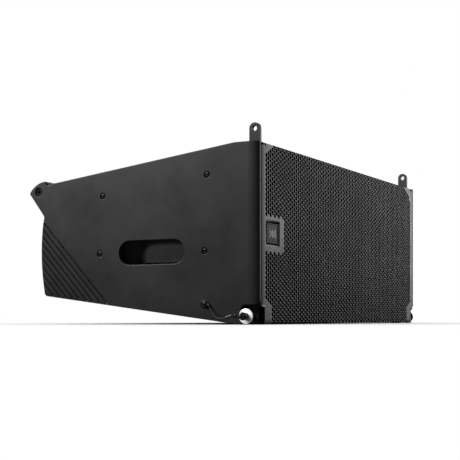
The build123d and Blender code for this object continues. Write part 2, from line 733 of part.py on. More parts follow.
PLATE_OUT = BACK_Y + PANEL_PLATE_T
SINK_HALF = 62.0
FIN_PITCH = 8.0
FIN_T = 2.4
FIN_TOP = 414.0
DISPLAY_X, DISPLAY_Z = 114.0, 199.0
KNOB_X, KNOB_Z = 114.0, 162.0
SIGNAL_X, SIGNAL_Z = (92.0, 134.0), 121.0
NETWORK_X, NETWORK_Z = (92.0, 134.0), 88.0
MAINS_X, MAINS_Z = -110.0, (150.0, 104.0)
SWITCH_X, SWITCH_Z = -110.0, 198.0
SIGNAL_R, MAINS_R = 11.5, 13.0


def amp_panel():
    """Panel plate with the switch's frame and housing."""
    half = AMP_W / 2
    plate = block(-half, half, BACK_Y, PLATE_OUT, AMP_Z0, AMP_Z1)
    housing = block(SWITCH_X - 10, SWITCH_X + 10, 376.0, PLATE_OUT + 2,
                    SWITCH_Z - 16, SWITCH_Z + 16)
    cuts = [
        block(DISPLAY_X - 25, DISPLAY_X + 25, BACK_Y - 1, PLATE_OUT + 1,
              DISPLAY_Z - 12, DISPLAY_Z + 12),
        rod_y(3.4, BACK_Y - 1, PLATE_OUT + 1, KNOB_X, KNOB_Z),
        block(SWITCH_X - 7, SWITCH_X + 7, 378.0, PLATE_OUT + 3, SWITCH_Z - 13, SWITCH_Z + 13),
    ]
    cuts += [rod_y(SIGNAL_R + 0.2, BACK_Y - 1, PLATE_OUT + 1, x, SIGNAL_Z) for x in SIGNAL_X]
    cuts += [rod_y(SIGNAL_R + 0.2, BACK_Y - 1, PLATE_OUT + 1, x, NETWORK_Z) for x in NETWORK_X]
    cuts += [rod_y(MAINS_R + 0.2, BACK_Y - 1, PLATE_OUT + 1, MAINS_X, z) for z in MAINS_Z]
    cuts += [screw_hole((x, PLATE_OUT, z), (0, -1, 0), 14.0) for x, z in AMP_SCREWS]
    return cut(plate + housing, cuts)


def heat_sink():
    base = block(-SINK_HALF, SINK_HALF, PLATE_OUT, PLATE_OUT + 4, AMP_Z0 + 8, AMP_Z1 - 8)
    fins = [base]
    count = int(2 * (SINK_HALF - FIN_T) / FIN_PITCH) + 1
    for n in range(count):
        x = (n - (count - 1) / 2) * FIN_PITCH
        fins.append(block(x - FIN_T / 2, x + FIN_T / 2, PLATE_OUT + 3, FIN_TOP,
                          AMP_Z0 + 8, AMP_Z1 - 8))
    return one(fins)


BOARD_Y = 374.0             # front face of the circuit boards
BOARD_T = 1.6


def circuit_board(x0, x1, z0, z1, parts):
    """A board behind the panel with its soldered parts, which point into the cabinet."""
    board = block(x0, x1, BOARD_Y, BOARD_Y + BOARD_T, z0, z1)
    for x, z, width, height, length in parts:
        board = board + block(x - width / 2, x + width / 2, BOARD_Y - length, BOARD_Y + 0.5,
                              z - height / 2, z + height / 2)
    return board


def amp_board():
    """Output stage, with the encoder and the display on its outer face."""
    board = circuit_board(8.0, 140.0, 136.0, 212.0, [
        (26, 162, 26, 26, 34), (62, 162, 26, 26, 34), (40, 196, 56, 18, 26),
        (100, 154, 26, 24, 18), (104, 190, 44, 26, 12),
    ])
    back = BOARD_Y + BOARD_T - 0.5
    display = block(DISPLAY_X - 22, DISPLAY_X + 22, back, BACK_Y - 1, DISPLAY_Z - 11, DISPLAY_Z + 11)
    encoder = block(KNOB_X - 7, KNOB_X + 7, back, BACK_Y - 1, KNOB_Z - 7, KNOB_Z + 7)
    return board + display + encoder - rod_y(3.4, 379.0, BACK_Y, KNOB_X, KNOB_Z)


def power_supply():
    """Supply board with its transformers and three tall capacitors."""
    board = circuit_board(-90.0, -8.0, 82.0, 212.0, [
        (-58, 110, 44, 40, 40), (-26, 122, 16, 60, 24), (-62, 150, 36, 22, 28),
    ])
    for n in range(3):
        board = board + rod_y(11.0, BOARD_Y - 46, BOARD_Y + 0.5, -76.0 + 26 * n, 190.0)
    return board


def display_window():
    return block(DISPLAY_X - 29, DISPLAY_X + 29, PLATE_OUT, PLATE_OUT + 1.6,
                 DISPLAY_Z - 16, DISPLAY_Z + 16)


def encoder_shaft():
    return rod_y(3.0, 380.0, PLATE_OUT + 12.0, KNOB_X, KNOB_Z)


def encoder_knob():
    knob = turned([(3.04, PLATE_OUT + 1.8), (9.0, PLATE_OUT + 1.8), (9.0, PLATE_OUT + 4.0),
                   (8.0, PLATE_OUT + 15.0), (7.2, PLATE_OUT + 16.0), (0, PLATE_OUT + 16.0),
                   (0, PLATE_OUT + 13.0), (3.04, PLATE_OUT + 13.0)], KNOB_X, KNOB_Z)
    for n in range(16):
        spot = Rot(0, n * 22.5, 0) * Pos(9.3, PLATE_OUT + 9.5, 0) * Box(1.2, 11.0, 1.0)
        knob = knob - Pos(KNOB_X, 0, KNOB_Z) * spot
    return knob


def power_switch():
    """Rocker, thicker at its middle so that one end always stands proud."""
    y = PLATE_OUT
    face = polygon((y - 6, SWITCH_Z - 5), (y - 6, SWITCH_Z + 5), (y - 1.5, SWITCH_Z + 11),
                   (y + 5.5, SWITCH_Z + 11), (y + 2.2, SWITCH_Z), (y + 1.4, SWITCH_Z - 11),
                   (y - 1.5, SWITCH_Z - 11))
    return slab(face, SWITCH_X - 6, SWITCH_X + 6)


SOCKET_BACK = 377.0
SIGNAL_FRONT = PLATE_OUT + 4.5
LATCH_Z = SIGNAL_Z + 9.9
POLES = [(-3.6, 0.6), (3.6, 0.6), (0.0, -3.6)]      # contacts, from a socket's middle


def panel_socket(x, z):
    """Square flange and round barrel shared by the signal and network sockets."""
    flange = block(x - 13, x + 13, PLATE_OUT, PLATE_OUT + 2, z - 15.5, z + 15.5)
    return flange + rod_y(SIGNAL_R, SOCKET_BACK, SIGNAL_FRONT, x, z)


def input_socket(x, z):
    """Female three-pole socket, with a slot for its release tab."""
    front = SIGNAL_FRONT
    ring = rod_y(9.2, front - 12, front + 1, x, z) - rod_y(7.0, front - 13, front + 2, x, z)
    slot = block(x - 4.3, x + 4.3, PLATE_OUT + 0.4, front + 1, LATCH_Z - 0.3, LATCH_Z + 4.5)
    poles = [rod_y(1.3, front - 10, front, x + dx, z + dz) for dx, dz in POLES]
    return cut(panel_socket(x, z), [ring, slot, *poles])


def output_socket(x, z):
    """Male three-pole socket."""
    front = SIGNAL_FRONT
    body = panel_socket(x, z) - rod_y(8.0, front - 13, front, x, z)
    pins = [rod_y(1.1, front - 14, front - 5, x + dx, z + dz) for dx, dz in POLES]
    return one([body, *pins])


def network_socket(x, z):
    front = SIGNAL_FRONT
    opening = block(x - 6, x + 6, front - 13, front, z - 4.5, z + 4)
    keyway = block(x - 3, x + 3, front - 13, front, z + 3, z + 6.5)
    return cut(panel_socket(x, z), [opening, keyway])


def socket_latch():
    """The input socket's release tab."""
    x = SIGNAL_X[0]
    return block(x - 4, x + 4, PLATE_OUT + 1.8, PLATE_OUT + 7, LATCH_Z, LATCH_Z + 4.2)


def mains_socket(z):
    """Locking mains socket with a keyed centre."""
    front = PLATE_OUT + 6.0
    flange = block(MAINS_X - 14, MAINS_X + 14, PLATE_OUT, PLATE_OUT + 2, z - 17, z + 17)
    barrel = rod_y(MAINS_R, SOCKET_BACK, front, MAINS_X, z)
    cavity = rod_y(11.2, front - 16, front, MAINS_X, z)
    key = rod_y(4.2, front - 17, front - 6, MAINS_X, z)
    rib = block(MAINS_X - 1.2, MAINS_X + 1.2, front - 17, front - 6, z, z + 8)
    return flange + barrel - cavity + key + rib


# ---------------------------------------------------------------- all nodes

def panel_screws():
    """Button-head screws of the side panels, the lanyard lugs and the amplifier panel."""
    screws = []
    for y, z in PANEL_SCREWS:
        left = screw((-SIDE + SCREW_SINK, y, z), (1, 0, 0), PANEL_T - SCREW_SINK)
        screws += [left, mirrored(left)]
    lug = screw((-SIDE - LUG_T, *LUG_SCREW), (1, 0, 0), 9.0)
    screws += [lug, mirrored(lug)]
    screws += [screw((x, PLATE_OUT, z), (0, -1, 0), 12.0) for x, z in AMP_SCREWS]
    return screws


def grille_screws():
    """Flush-headed screws through the grille's top and bottom folds."""
    screws = []
    for x, z in GRILLE_SCREWS:
        inward = 1 if z < MID_Z else -1
        edge = 0.0 if z < MID_Z else FRONT_H
        screws.append(rod(SCREW_R, (x, 18.0, edge + 0.2 * inward), (x, 18.0, edge + 10 * inward)))
    return screws


def woofer_screws():
    return group([screw((x, WOOFER_FRONT, z), (0, 1, 0), 14.0) for x, z in woofer_screw_places()])


def both_sides(name, shape):
    return {name + "_left": shape, name + "_right": mirrored(shape)}


def all_nodes():
    nodes = {
        "cabinet_shell": cabinet_shell(),
        "front_baffle": front_baffle(),
        "port_tubes": port_tubes(),
        "grille": grille(),
        "grille_foam": grille_foam(),
        "badge_plate": badge_plate(),
        "panel_screws": group(panel_screws() + grille_screws()),
        "woofer_screws": woofer_screws(),
        "hf_waveguide": hf_waveguide(),
        "hf_motor_upper": hf_motor(MID_Z + HF_OFFSET),
        "hf_motor_lower": hf_motor(MID_Z - HF_OFFSET),
        "hf_diaphragm_upper": hf_diaphragm(MID_Z + HF_OFFSET),
        "hf_diaphragm_lower": hf_diaphragm(MID_Z - HF_OFFSET),
        "amp_panel": amp_panel(),
        "heat_sink": heat_sink(),
        "amp_board": amp_board(),
        "power_supply": power_supply(),
        "display_window": display_window(),
        "encoder_shaft": encoder_shaft(),
        "encoder_knob": encoder_knob(),
        "power_switch": power_switch(),
        "signal_sockets": group([
            input_socket(SIGNAL_X[0], SIGNAL_Z), output_socket(SIGNAL_X[1], SIGNAL_Z),
            *[network_socket(x, NETWORK_Z) for x in NETWORK_X],
        ]),
        "socket_latch": socket_latch(),
        "mains_sockets": group([mains_socket(z) for z in MAINS_Z]),
    }
    nodes.update(both_sides("side_panel", side_panel()))
    nodes.update(both_sides("rib_corner", rib_corner()))
    nodes.update(both_sides("handle_cup", handle_cup()))
    nodes.update(both_sides("rigging_frame", rigging_frame()))
    nodes.update(both_sides("front_link", front_link()))
    nodes.update(both_sides("release_pin", release_pin()))
    nodes.update(both_sides("pin_button", pin_button()))
    nodes.update(both_sides("lanyard", lanyard()))
    nodes.update(both_sides("rear_arm", rear_arm()))
    lug = lanyard_lug()
    nodes["lanyard_lugs"] = group([lug, mirrored(lug)])
    bolt = rear_bolt()
    nodes["rear_bolts"] = group(bolt + [mirrored(part) for part in bolt])
    woofer_parts = {
        "woofer_basket": woofer_basket,
        "woofer_cone": woofer_cone,
        "woofer_surround": woofer_surround,
        "woofer_spider": woofer_spider,
        "voice_coil": voice_coil,
        "woofer_plate": woofer_plate,
        "woofer_magnet": woofer_magnet,
        "woofer_yoke": woofer_yoke,
    }
    for name, make in woofer_parts.items():
        nodes.update(both_sides(name, make(-WOOFER_X)))
    return nodes


def write_node(name, shape, shift):
    solids = [Pos(0, shift, 0) * solid for solid in shape.solids()]
    body = solids[0] if len(solids) == 1 else Compound(children=solids)
    export_step(body, f"parts/{name}.step")


os.makedirs("parts", exist_ok=True)
NODES = all_nodes()
REAR = NODES["side_panel_left"].bounding_box().max.Y
for node_name, node_shape in NODES.items():
    write_node(node_name, node_shape, -REAR / 2)
print(len(NODES), "nodes, depth", round(REAR, 3))
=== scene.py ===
import json
import math

import bmesh
import bpy
from mathutils import Matrix, Vector


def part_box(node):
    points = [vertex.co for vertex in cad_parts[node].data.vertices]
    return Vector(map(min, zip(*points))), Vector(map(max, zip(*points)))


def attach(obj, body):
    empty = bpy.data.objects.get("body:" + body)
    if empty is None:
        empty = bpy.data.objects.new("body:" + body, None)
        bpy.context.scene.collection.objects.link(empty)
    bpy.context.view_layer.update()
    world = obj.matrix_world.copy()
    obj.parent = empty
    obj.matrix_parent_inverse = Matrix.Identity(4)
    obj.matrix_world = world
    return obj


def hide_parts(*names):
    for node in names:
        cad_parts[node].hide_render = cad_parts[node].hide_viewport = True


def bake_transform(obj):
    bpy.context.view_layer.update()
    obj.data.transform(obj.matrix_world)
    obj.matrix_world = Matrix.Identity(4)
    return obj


# A powered line array loudspeaker. The CAD frame gives every place; this script adds the
# perforated grille, the small detailed pieces, the lanyards and all materials.
# Lengths are in metres. Design places are written in millimetres, with Y from the front face
# of the grille, and at() turns them into the row frame.

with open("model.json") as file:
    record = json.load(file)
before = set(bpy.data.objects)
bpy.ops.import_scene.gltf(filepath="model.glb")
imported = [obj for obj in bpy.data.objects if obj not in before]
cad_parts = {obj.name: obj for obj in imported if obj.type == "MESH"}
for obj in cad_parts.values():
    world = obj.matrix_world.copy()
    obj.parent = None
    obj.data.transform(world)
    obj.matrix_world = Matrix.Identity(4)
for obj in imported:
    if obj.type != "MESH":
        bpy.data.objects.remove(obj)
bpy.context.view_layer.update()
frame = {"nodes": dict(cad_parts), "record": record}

MM = 0.001
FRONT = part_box("grille")[0].y
SIDE = -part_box("side_panel_left")[0].x
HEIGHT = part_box("grille")[1].z
SIDES = (("left", -1), ("right", 1))


def at(x, y, z):
    """A point given in millimetres from the cabinet's middle, front face and base."""
    return Vector((x * MM, FRONT + y * MM, z * MM))


# ---------------------------------------------------------------- camera

CAMERA_PLACE = at(-1928.0, -768.8, 10.1)
CAMERA_TURN = -62.148
CAMERA_LENS = 86.72
CAMERA_SHIFT = 0.1917


def make_camera():
    data = bpy.data.cameras.new("camera")
    data.lens = CAMERA_LENS
    data.sensor_width = 36.0
    data.shift_y = CAMERA_SHIFT
    data.clip_start = 0.02
    camera = bpy.data.objects.new("camera", data)
    camera.location = CAMERA_PLACE
    camera.rotation_euler = (math.radians(90), 0, math.radians(CAMERA_TURN))
    bpy.context.scene.collection.objects.link(camera)
    bpy.context.scene.camera = camera


make_camera()


# ---------------------------------------------------------------- lanyard route

CORD_D = 0.002
LANYARD_ROUTE = [           # metres: out from the side plane, back from the front face, height
    (0.0024, 0.0860, 0.0286),
    (0.0036, 0.0824, 0.0236),
    (0.0066, 0.0770, 0.0176),
    (0.0110, 0.0696, 0.0120),
    (0.0158, 0.0604, 0.0092),
    (0.0190, 0.0524, 0.0094),
    (0.0200, 0.0460, 0.0112),
]


def route_place(sign, entry):
    """A route point on the left (-1) or right (1) side, or on the middle plane (0)."""
    out, back, height = entry
    return Vector((sign * (SIDE + out), FRONT + back, height))


# ---------------------------------------------------------------- mesh helpers

def new_object(name, mesh, body, material, replaces=()):
    piece = bpy.data.objects.new(name, mesh)
    bpy.context.scene.collection.objects.link(piece)
    piece.data.materials.append(material)
    if body:
        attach(piece, body)
    if replaces:
        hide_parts(*replaces)
    return piece


def mesh_from(bm, name, smooth_angle=None):
    bmesh.ops.recalc_face_normals(bm, faces=bm.faces)
    mesh = bpy.data.meshes.new(name)
    bm.to_mesh(mesh)
    bm.free()
    if smooth_angle is not None:
        mesh.shade_smooth()
        mesh.set_sharp_from_angle(angle=math.radians(smooth_angle))
    return mesh


def axes_for(direction):
    """Two directions that make a right-handed set with direction."""
    forward = Vector(direction).normalized()
    side = forward.orthogonal().normalized()
    return forward, side, forward.cross(side)


def add_lathe(bm, profile, origin, direction, segments=48):
    """Turns (radius, distance) points about an axis. Radius 0 closes an end with a fan."""
    forward, side, up = axes_for(direction)
    rings = []
    for radius, distance in profile:
        centre = origin + forward * distance
        if radius < 1e-7:
            rings.append([bm.verts.new(centre)])
            continue
        ring = []
        for n in range(segments):
            angle = 2 * math.pi * n / segments
            ring.append(bm.verts.new(centre + (side * math.cos(angle) + up * math.sin(angle)) * radius))
        rings.append(ring)
    for a, b in zip(rings, rings[1:]):
        for n in range(segments):
            m = (n + 1) % segments
            corners = [a[n % len(a)], a[m % len(a)], b[m % len(b)], b[n % len(b)]]
            unique = list(dict.fromkeys(corners))
            if len(unique) > 2:
                bm.faces.new(unique)
    return rings


def add_prism(bm, outline, start, end, chamfer=0.0):
    """Joins an outline at two offsets into a closed solid. outline holds 3-D points."""
    shift = end - start
    lengthwise = shift.normalized()
    centre = sum(outline, Vector()) / len(outline)
    levels = [(start, 1)] if chamfer <= 0 else [(start, 0), (start + lengthwise * chamfer, 1)]
    levels += [(end, 1)] if chamfer <= 0 else [(end - lengthwise * chamfer, 1), (end, 0)]
    rings = []
    for offset, full in levels:
        ring = []
        for point in outline:
            inward = centre - point
            pull = Vector() if full else inward.normalized() * chamfer
            ring.append(bm.verts.new(point + pull + offset))
        rings.append(ring)
    count = len(outline)
    for a, b in zip(rings, rings[1:]):
        for n in range(count):
            m = (n + 1) % count
            bm.faces.new((a[n], a[m], b[m], b[n]))
    bm.faces.new(rings[0][::-1])
    bm.faces.new(rings[-1])


def add_box(bm, low, high):
    """A box between two corner points."""
    outline = [Vector((low.x, low.y, low.z)), Vector((high.x, low.y, low.z)),
               Vector((high.x, high.y, low.z)), Vector((low.x, high.y, low.z))]
    add_prism(bm, outline, Vector(), Vector((0, 0, high.z - low.z)))


def bevelled(piece, width, segments=2, angle=35):
    modifier = piece.modifiers.new("bevel", "BEVEL")
    modifier.width = width
    modifier.segments = segments
    modifier.limit_method = "ANGLE"
    modifier.angle_limit = math.radians(angle)
    modifier.harden_normals = False
    return piece


# ---------------------------------------------------------------- materials

class Nodes:
    """Short calls for building one material's node tree."""

    def __init__(self, name):
        self.material = bpy.data.materials.new(name)
        self.material.use_nodes = True
        self.tree = self.material.node_tree
        self.tree.nodes.clear()
        self.output = self.tree.nodes.new("ShaderNodeOutputMaterial")
        self.shader = self.tree.nodes.new("ShaderNodeBsdfPrincipled")
        self.tree.links.new(self.shader.outputs[0], self.output.inputs[0])
        place = self.tree.nodes.new("ShaderNodeTexCoord")
        self.place = place.outputs["Object"]

    def link(self, source, target):
        self.tree.links.new(source, target)

    def noise(self, scale, detail=2.0, rough=0.5, stretch=None):
        node = self.tree.nodes.new("ShaderNodeTexNoise")
        node.inputs["Scale"].default_value = scale
        node.inputs["Detail"].default_value = detail
        node.inputs["Roughness"].default_value = rough
        source = self.place
        if stretch:
            mapping = self.tree.nodes.new("ShaderNodeMapping")
            mapping.inputs["Scale"].default_value = stretch
            self.link(source, mapping.inputs[0])
            source = mapping.outputs[0]
        self.link(source, node.inputs["Vector"])
        return node.outputs[0]

    def cells(self, scale):
        node = self.tree.nodes.new("ShaderNodeTexVoronoi")
        node.inputs["Scale"].default_value = scale
        self.link(self.place, node.inputs["Vector"])
        return node.outputs["Distance"]

    def wave(self, scale, axis="X", distortion=0.0):
        node = self.tree.nodes.new("ShaderNodeTexWave")
        node.bands_direction = axis
        node.inputs["Scale"].default_value = scale
        node.inputs["Distortion"].default_value = distortion
        self.link(self.place, node.inputs["Vector"])
        return node.outputs[0 if node.outputs[0].type != "RGBA" else 1]

    def spread(self, value, low, high, out_low=0.0, out_high=1.0):
        node = self.tree.nodes.new("ShaderNodeMapRange")
        node.inputs["From Min"].default_value = low
        node.inputs["From Max"].default_value = high
        node.inputs["To Min"].default_value = out_low
        node.inputs["To Max"].default_value = out_high
        self.link(value, node.inputs["Value"])
        return node.outputs[0]

    def maths(self, operation, a, b):
        node = self.tree.nodes.new("ShaderNodeMath")
        node.operation = operation
        for socket, value in zip(node.inputs, (a, b)):
            if isinstance(value, (int, float)):
                socket.default_value = value
            else:
                self.link(value, socket)
        return node.outputs[0]

    def mix(self, factor, a, b):
        node = self.tree.nodes.new("ShaderNodeMix")
        node.data_type = "RGBA"
        self.link(factor, node.inputs["Factor"])
        for socket, value in ((node.inputs[6], a), (node.inputs[7], b)):
            if isinstance(value, tuple):
                socket.default_value = (*value, 1.0)
            else:
                self.link(value, socket)
        return node.outputs[2]

    def edge(self, radius):
        """1 on edges within the radius, 0 on flats. Also keeps the edge-rounding normal."""
        bevel = self.tree.nodes.new("ShaderNodeBevel")
        bevel.samples = 4
        bevel.inputs["Radius"].default_value = radius
        self.rounded = bevel.outputs[0]
        geometry = self.tree.nodes.new("ShaderNodeNewGeometry")
        dot = self.tree.nodes.new("ShaderNodeVectorMath")
        dot.operation = "DOT_PRODUCT"
        self.link(bevel.outputs[0], dot.inputs[0])
        self.link(geometry.outputs["Normal"], dot.inputs[1])
        return self.spread(dot.outputs["Value"], 0.98, 0.8)

    def bump(self, height, distance, strength=1.0, below=None):
        node = self.tree.nodes.new("ShaderNodeBump")
        node.inputs["Strength"].default_value = strength
        node.inputs["Distance"].default_value = distance
        self.link(height, node.inputs["Height"])
        if below is not None:
            self.link(below, node.inputs["Normal"])
        return node.outputs[0]

    def set(self, **values):
        for key, value in values.items():
            socket = self.shader.inputs[key.replace("_", " ")]
            if isinstance(value, (int, float)):
                socket.default_value = value
            elif isinstance(value, tuple):
                socket.default_value = (*value, 1.0)
            else:
                self.link(value, socket)


def shade(colour, factor):
    return tuple(min(1.0, c * factor) for c in colour)


def grained(name, colour, rough, grain=1800.0, depth=0.00004, metallic=0.0, wear=0.3,
            vary=0.25, blotch=14.0, specular=0.5, edge_radius=0.0009):
    """Painted or moulded surface: fine grain, cloudy tone and lighter, smoother worn edges."""
    n = Nodes(name)
    clouds = n.noise(blotch, 4.0, 0.6)
    fine = n.noise(grain, 3.0, 0.6)
    tone = n.mix(n.spread(clouds, 0.3, 0.7), shade(colour, 1 - vary), shade(colour, 1 + vary))
    edges = n.edge(edge_radius)
    scuffs = n.spread(n.noise(260.0, 5.0, 0.7), 0.42, 0.62)
    worn = n.maths("MULTIPLY", n.maths("MULTIPLY", edges, scuffs), wear)
    n.set(Base_Color=n.mix(worn, tone, shade(colour, 3.2)))
    n.set(Roughness=n.maths("SUBTRACT", n.spread(clouds, 0.3, 0.7, rough - 0.05, rough + 0.06),
                            n.maths("MULTIPLY", worn, 0.25)))
    n.set(Normal=n.bump(fine, depth, 1.0, n.rounded), Metallic=metallic)
    n.shader.inputs["Specular IOR Level"].default_value = specular
    return n.material


def polished(name, colour, rough, brush=None, metallic=1.0):
    """Bright metal with faint turning or brushing marks."""
    n = Nodes(name)
    marks = n.noise(900.0, 3.0, 0.6, stretch=brush or (1, 1, 1))
    clouds = n.noise(90.0, 3.0, 0.6)
    n.set(Base_Color=n.mix(n.spread(clouds, 0.3, 0.7), shade(colour, 0.88), colour))
    n.set(Roughness=n.spread(marks, 0.3, 0.7, rough, rough + 0.12))
    n.set(Normal=n.bump(marks, 0.00001), Metallic=metallic)
    return n.material


# Speckled near-black: the real foam behind the grille, and also painted shade standing in for unlit hole
# walls and gaps.
def speckled_foam_and_shade(name, colour):
    n = Nodes(name)
    pores = n.cells(900.0)
    n.set(Base_Color=n.mix(n.spread(pores, 0.1, 0.6), shade(colour, 0.3), colour))
    n.set(Roughness=0.95, Normal=n.bump(pores, 0.0004))
    n.shader.inputs["Specular IOR Level"].default_value = 0.1
    return n.material


def wood_paint(name, colour):
    """Thick sprayed texture coat: small rounded bumps over the boards."""
    n = Nodes(name)
    drops = n.cells(420.0)
    fine = n.noise(1500.0, 3.0, 0.6)
    clouds = n.noise(8.0, 4.0, 0.6)
    tone = n.mix(n.spread(clouds, 0.3, 0.7), shade(colour, 0.8), shade(colour, 1.2))
    worn = n.maths("MULTIPLY", n.edge(0.0012), n.spread(n.noise(120.0, 5.0, 0.7), 0.45, 0.65))
    n.set(Base_Color=n.mix(n.maths("MULTIPLY", worn, 0.35), tone, shade(colour, 3.0)))
    n.set(Roughness=n.spread(drops, 0.0, 0.6, 0.5, 0.68))
    n.set(Normal=n.bump(drops, 0.0005, 0.7, n.bump(fine, 0.00005)))
    return n.material


def cone_paper(name, colour):
    n = Nodes(name)
    fibre = n.noise(700.0, 6.0, 0.7)
    n.set(Base_Color=n.mix(n.spread(fibre, 0.3, 0.7), shade(colour, 0.7), shade(colour, 1.4)))
    n.set(Roughness=n.spread(fibre, 0.3, 0.7, 0.62, 0.8), Normal=n.bump(fibre, 0.0002))
    return n.material


def woven(name, colour, scale):
    n = Nodes(name)
    weave = n.maths("MULTIPLY", n.wave(scale, "X"), n.wave(scale, "Z"))
    n.set(Base_Color=n.mix(n.spread(weave, 0.0, 1.0), shade(colour, 0.6), shade(colour, 1.2)))
    n.set(Roughness=0.8, Normal=n.bump(weave, 0.0002))
    return n.material


def circuit(name, colour):
    """Solder mask with darker tracks and pale pads."""
    n = Nodes(name)
    tracks = n.wave(70.0, "X", 3.0)
    pads = n.cells(160.0)
    base = n.mix(n.spread(tracks, 0.45, 0.55), shade(colour, 0.6), shade(colour, 1.3))
    n.set(Base_Color=n.mix(n.spread(pads, 0.12, 0.08), base, (0.5, 0.45, 0.3)))
    n.set(Roughness=n.spread(tracks, 0.4, 0.6, 0.35, 0.5), Normal=n.bump(tracks, 0.0001))
    return n.material


def window_glass(name):
    """Dark display window with faint smears."""
    n = Nodes(name)
    smear = n.noise(60.0, 5.0, 0.7)
    n.set(Base_Color=n.mix(n.spread(smear, 0.3, 0.7), (0.008, 0.009, 0.011), (0.013, 0.015, 0.018)))
    n.set(Roughness=n.spread(smear, 0.3, 0.7, 0.06, 0.16), Normal=n.bump(smear, 0.00001))
    return n.material


def rope_wire(name, colour):
    n = Nodes(name)
    strands = n.noise(2500.0, 2.0, 0.5)
    n.set(Base_Color=n.mix(n.spread(strands, 0.3, 0.7), shade(colour, 0.6), shade(colour, 1.5)))
    n.set(Roughness=n.spread(strands, 0.3, 0.7, 0.4, 0.55), Metallic=0.7)
    n.set(Normal=n.bump(strands, 0.00003))
    return n.material


BLACK = (0.012, 0.012, 0.0125)
MATERIALS = {
    "cabinet_paint": wood_paint("cabinet_paint", (0.013, 0.013, 0.0135)),
    "baffle_wood": wood_paint("baffle_wood", (0.02, 0.02, 0.02)),
    "port_plastic": grained("port_plastic", (0.02, 0.02, 0.02), 0.5),
    "grille_steel": grained("grille_steel", (0.016, 0.016, 0.0165), 0.40, grain=2600.0,
                            depth=0.00003, metallic=0.0, wear=0.25, edge_radius=0.0004),
    # Near-black painted shade for the grille's hole walls, the badge's gap and the grille's top notch.
    "painted_shade_black": speckled_foam_and_shade("painted_shade_black", (0.003, 0.003, 0.003)),
    "foam": speckled_foam_and_shade("foam", (0.003, 0.003, 0.003)),
    "badge": grained("badge", (0.006, 0.006, 0.0065), 0.58, grain=1500.0, depth=0.00002),
    "badge_bars": grained("badge_bars", (0.30, 0.30, 0.31), 0.35, metallic=0.3),
    "black_screws": grained("black_screws", (0.018, 0.018, 0.019), 0.38, grain=2500.0,
                            metallic=0.6, wear=0.6, edge_radius=0.0004),
    "side_plastic": grained("side_plastic", BLACK, 0.46, wear=0.25, edge_radius=0.0018),
    "rib_plastic": grained("rib_plastic", (0.009, 0.009, 0.0095), 0.46, wear=0.25),
    # Lifted above the side panels' black as painted light on the hand pockets' back wall.
    "cup_plastic": grained("cup_plastic", (0.03, 0.03, 0.031), 0.5, wear=0.1),
    "rigging_paint": grained("rigging_paint", (0.013, 0.013, 0.0135), 0.42, grain=1400.0,
                             depth=0.00006, wear=0.6),
    "pin_steel": polished("pin_steel", (0.95, 0.95, 0.96), 0.45, metallic=0.35),
    "button_steel": polished("button_steel", (0.10, 0.10, 0.105), 0.28),
    "wire": rope_wire("wire", (0.045, 0.045, 0.047)),
    "sleeve": polished("sleeve", (0.10, 0.10, 0.105), 0.4),
    "lug_steel": grained("lug_steel", (0.03, 0.03, 0.03), 0.35, metallic=0.7, wear=0.6),
    "horn_plastic": grained("horn_plastic", (0.02, 0.02, 0.02), 0.4),
    "driver_paint": grained("driver_paint", (0.04, 0.04, 0.04), 0.4, metallic=0.3),
    "diaphragm": polished("diaphragm", (0.6, 0.6, 0.62), 0.25),
    "panel_paint": grained("panel_paint", (0.032, 0.032, 0.034), 0.5, grain=1500.0,
                           depth=0.00006, wear=0.4),
    "sink_aluminium": grained("sink_aluminium", (0.02, 0.02, 0.021), 0.36, grain=1200.0,
                              metallic=0.7, wear=0.5),
    "circuit": circuit("circuit", (0.02, 0.09, 0.05)),
    "display_glass": window_glass("display_glass"),
    "shaft_steel": polished("shaft_steel", (0.6, 0.6, 0.6), 0.25),
    "knob_rubber": grained("knob_rubber", (0.018, 0.018, 0.018), 0.6, grain=2200.0),
    "switch_plastic": grained("switch_plastic", (0.016, 0.016, 0.016), 0.25, grain=900.0,
                              depth=0.00001),
    "socket_plastic": grained("socket_plastic", (0.025, 0.025, 0.026), 0.38, grain=1600.0,
                              metallic=0.5, wear=0.5),
    "mains_plastic": grained("mains_plastic", (0.32, 0.33, 0.35), 0.4, wear=0.1),
    "basket_aluminium": grained("basket_aluminium", (0.03, 0.03, 0.03), 0.45, metallic=0.3),
    "cone_paper": cone_paper("cone_paper", (0.02, 0.02, 0.02)),
    "surround_rubber": grained("surround_rubber", (0.012, 0.012, 0.012), 0.6),
    "spider_cloth": woven("spider_cloth", (0.40, 0.26, 0.10), 380.0),
    "coil_aluminium": polished("coil_aluminium", (0.7, 0.5, 0.28), 0.35, brush=(1, 40, 1)),
    "motor_steel": polished("motor_steel", (0.28, 0.28, 0.29), 0.35),
    "ferrite": grained("ferrite", (0.03, 0.03, 0.032), 0.6, grain=800.0, depth=0.0001),
}


def paint_cad_nodes():
    slots = {entry["node"]: entry["material_slot"] for entry in frame["record"]["subparts"]}
    for name, node in frame["nodes"].items():
        node.data.materials.clear()
        node.data.materials.append(MATERIALS[slots[name]])


paint_cad_nodes()


# ---------------------------------------------------------------- lanyards

def lanyard_curve(side, sign):
    """The wire's centre line: a smooth curve through the space of its design route."""
    data = bpy.data.curves.new(f"lanyard_line_{side}", "CURVE")
    data.dimensions = "3D"
    data.resolution_u = 16
    spline = data.splines.new("NURBS")
    spline.points.add(len(LANYARD_ROUTE) - 1)
    for target, entry in zip(spline.points, LANYARD_ROUTE):
        target.co = (*route_place(sign, entry), 1.0)
    spline.order_u = 3
    spline.use_endpoint_u = True
    return data


def curve_points(data):
    holder = bpy.data.objects.new("line_reader", data)
    bpy.context.scene.collection.objects.link(holder)
    mesh = bpy.data.meshes.new_from_object(holder)
    points = [vertex.co.copy() for vertex in mesh.vertices]
    bpy.data.objects.remove(holder)
    bpy.data.meshes.remove(mesh)
    return points


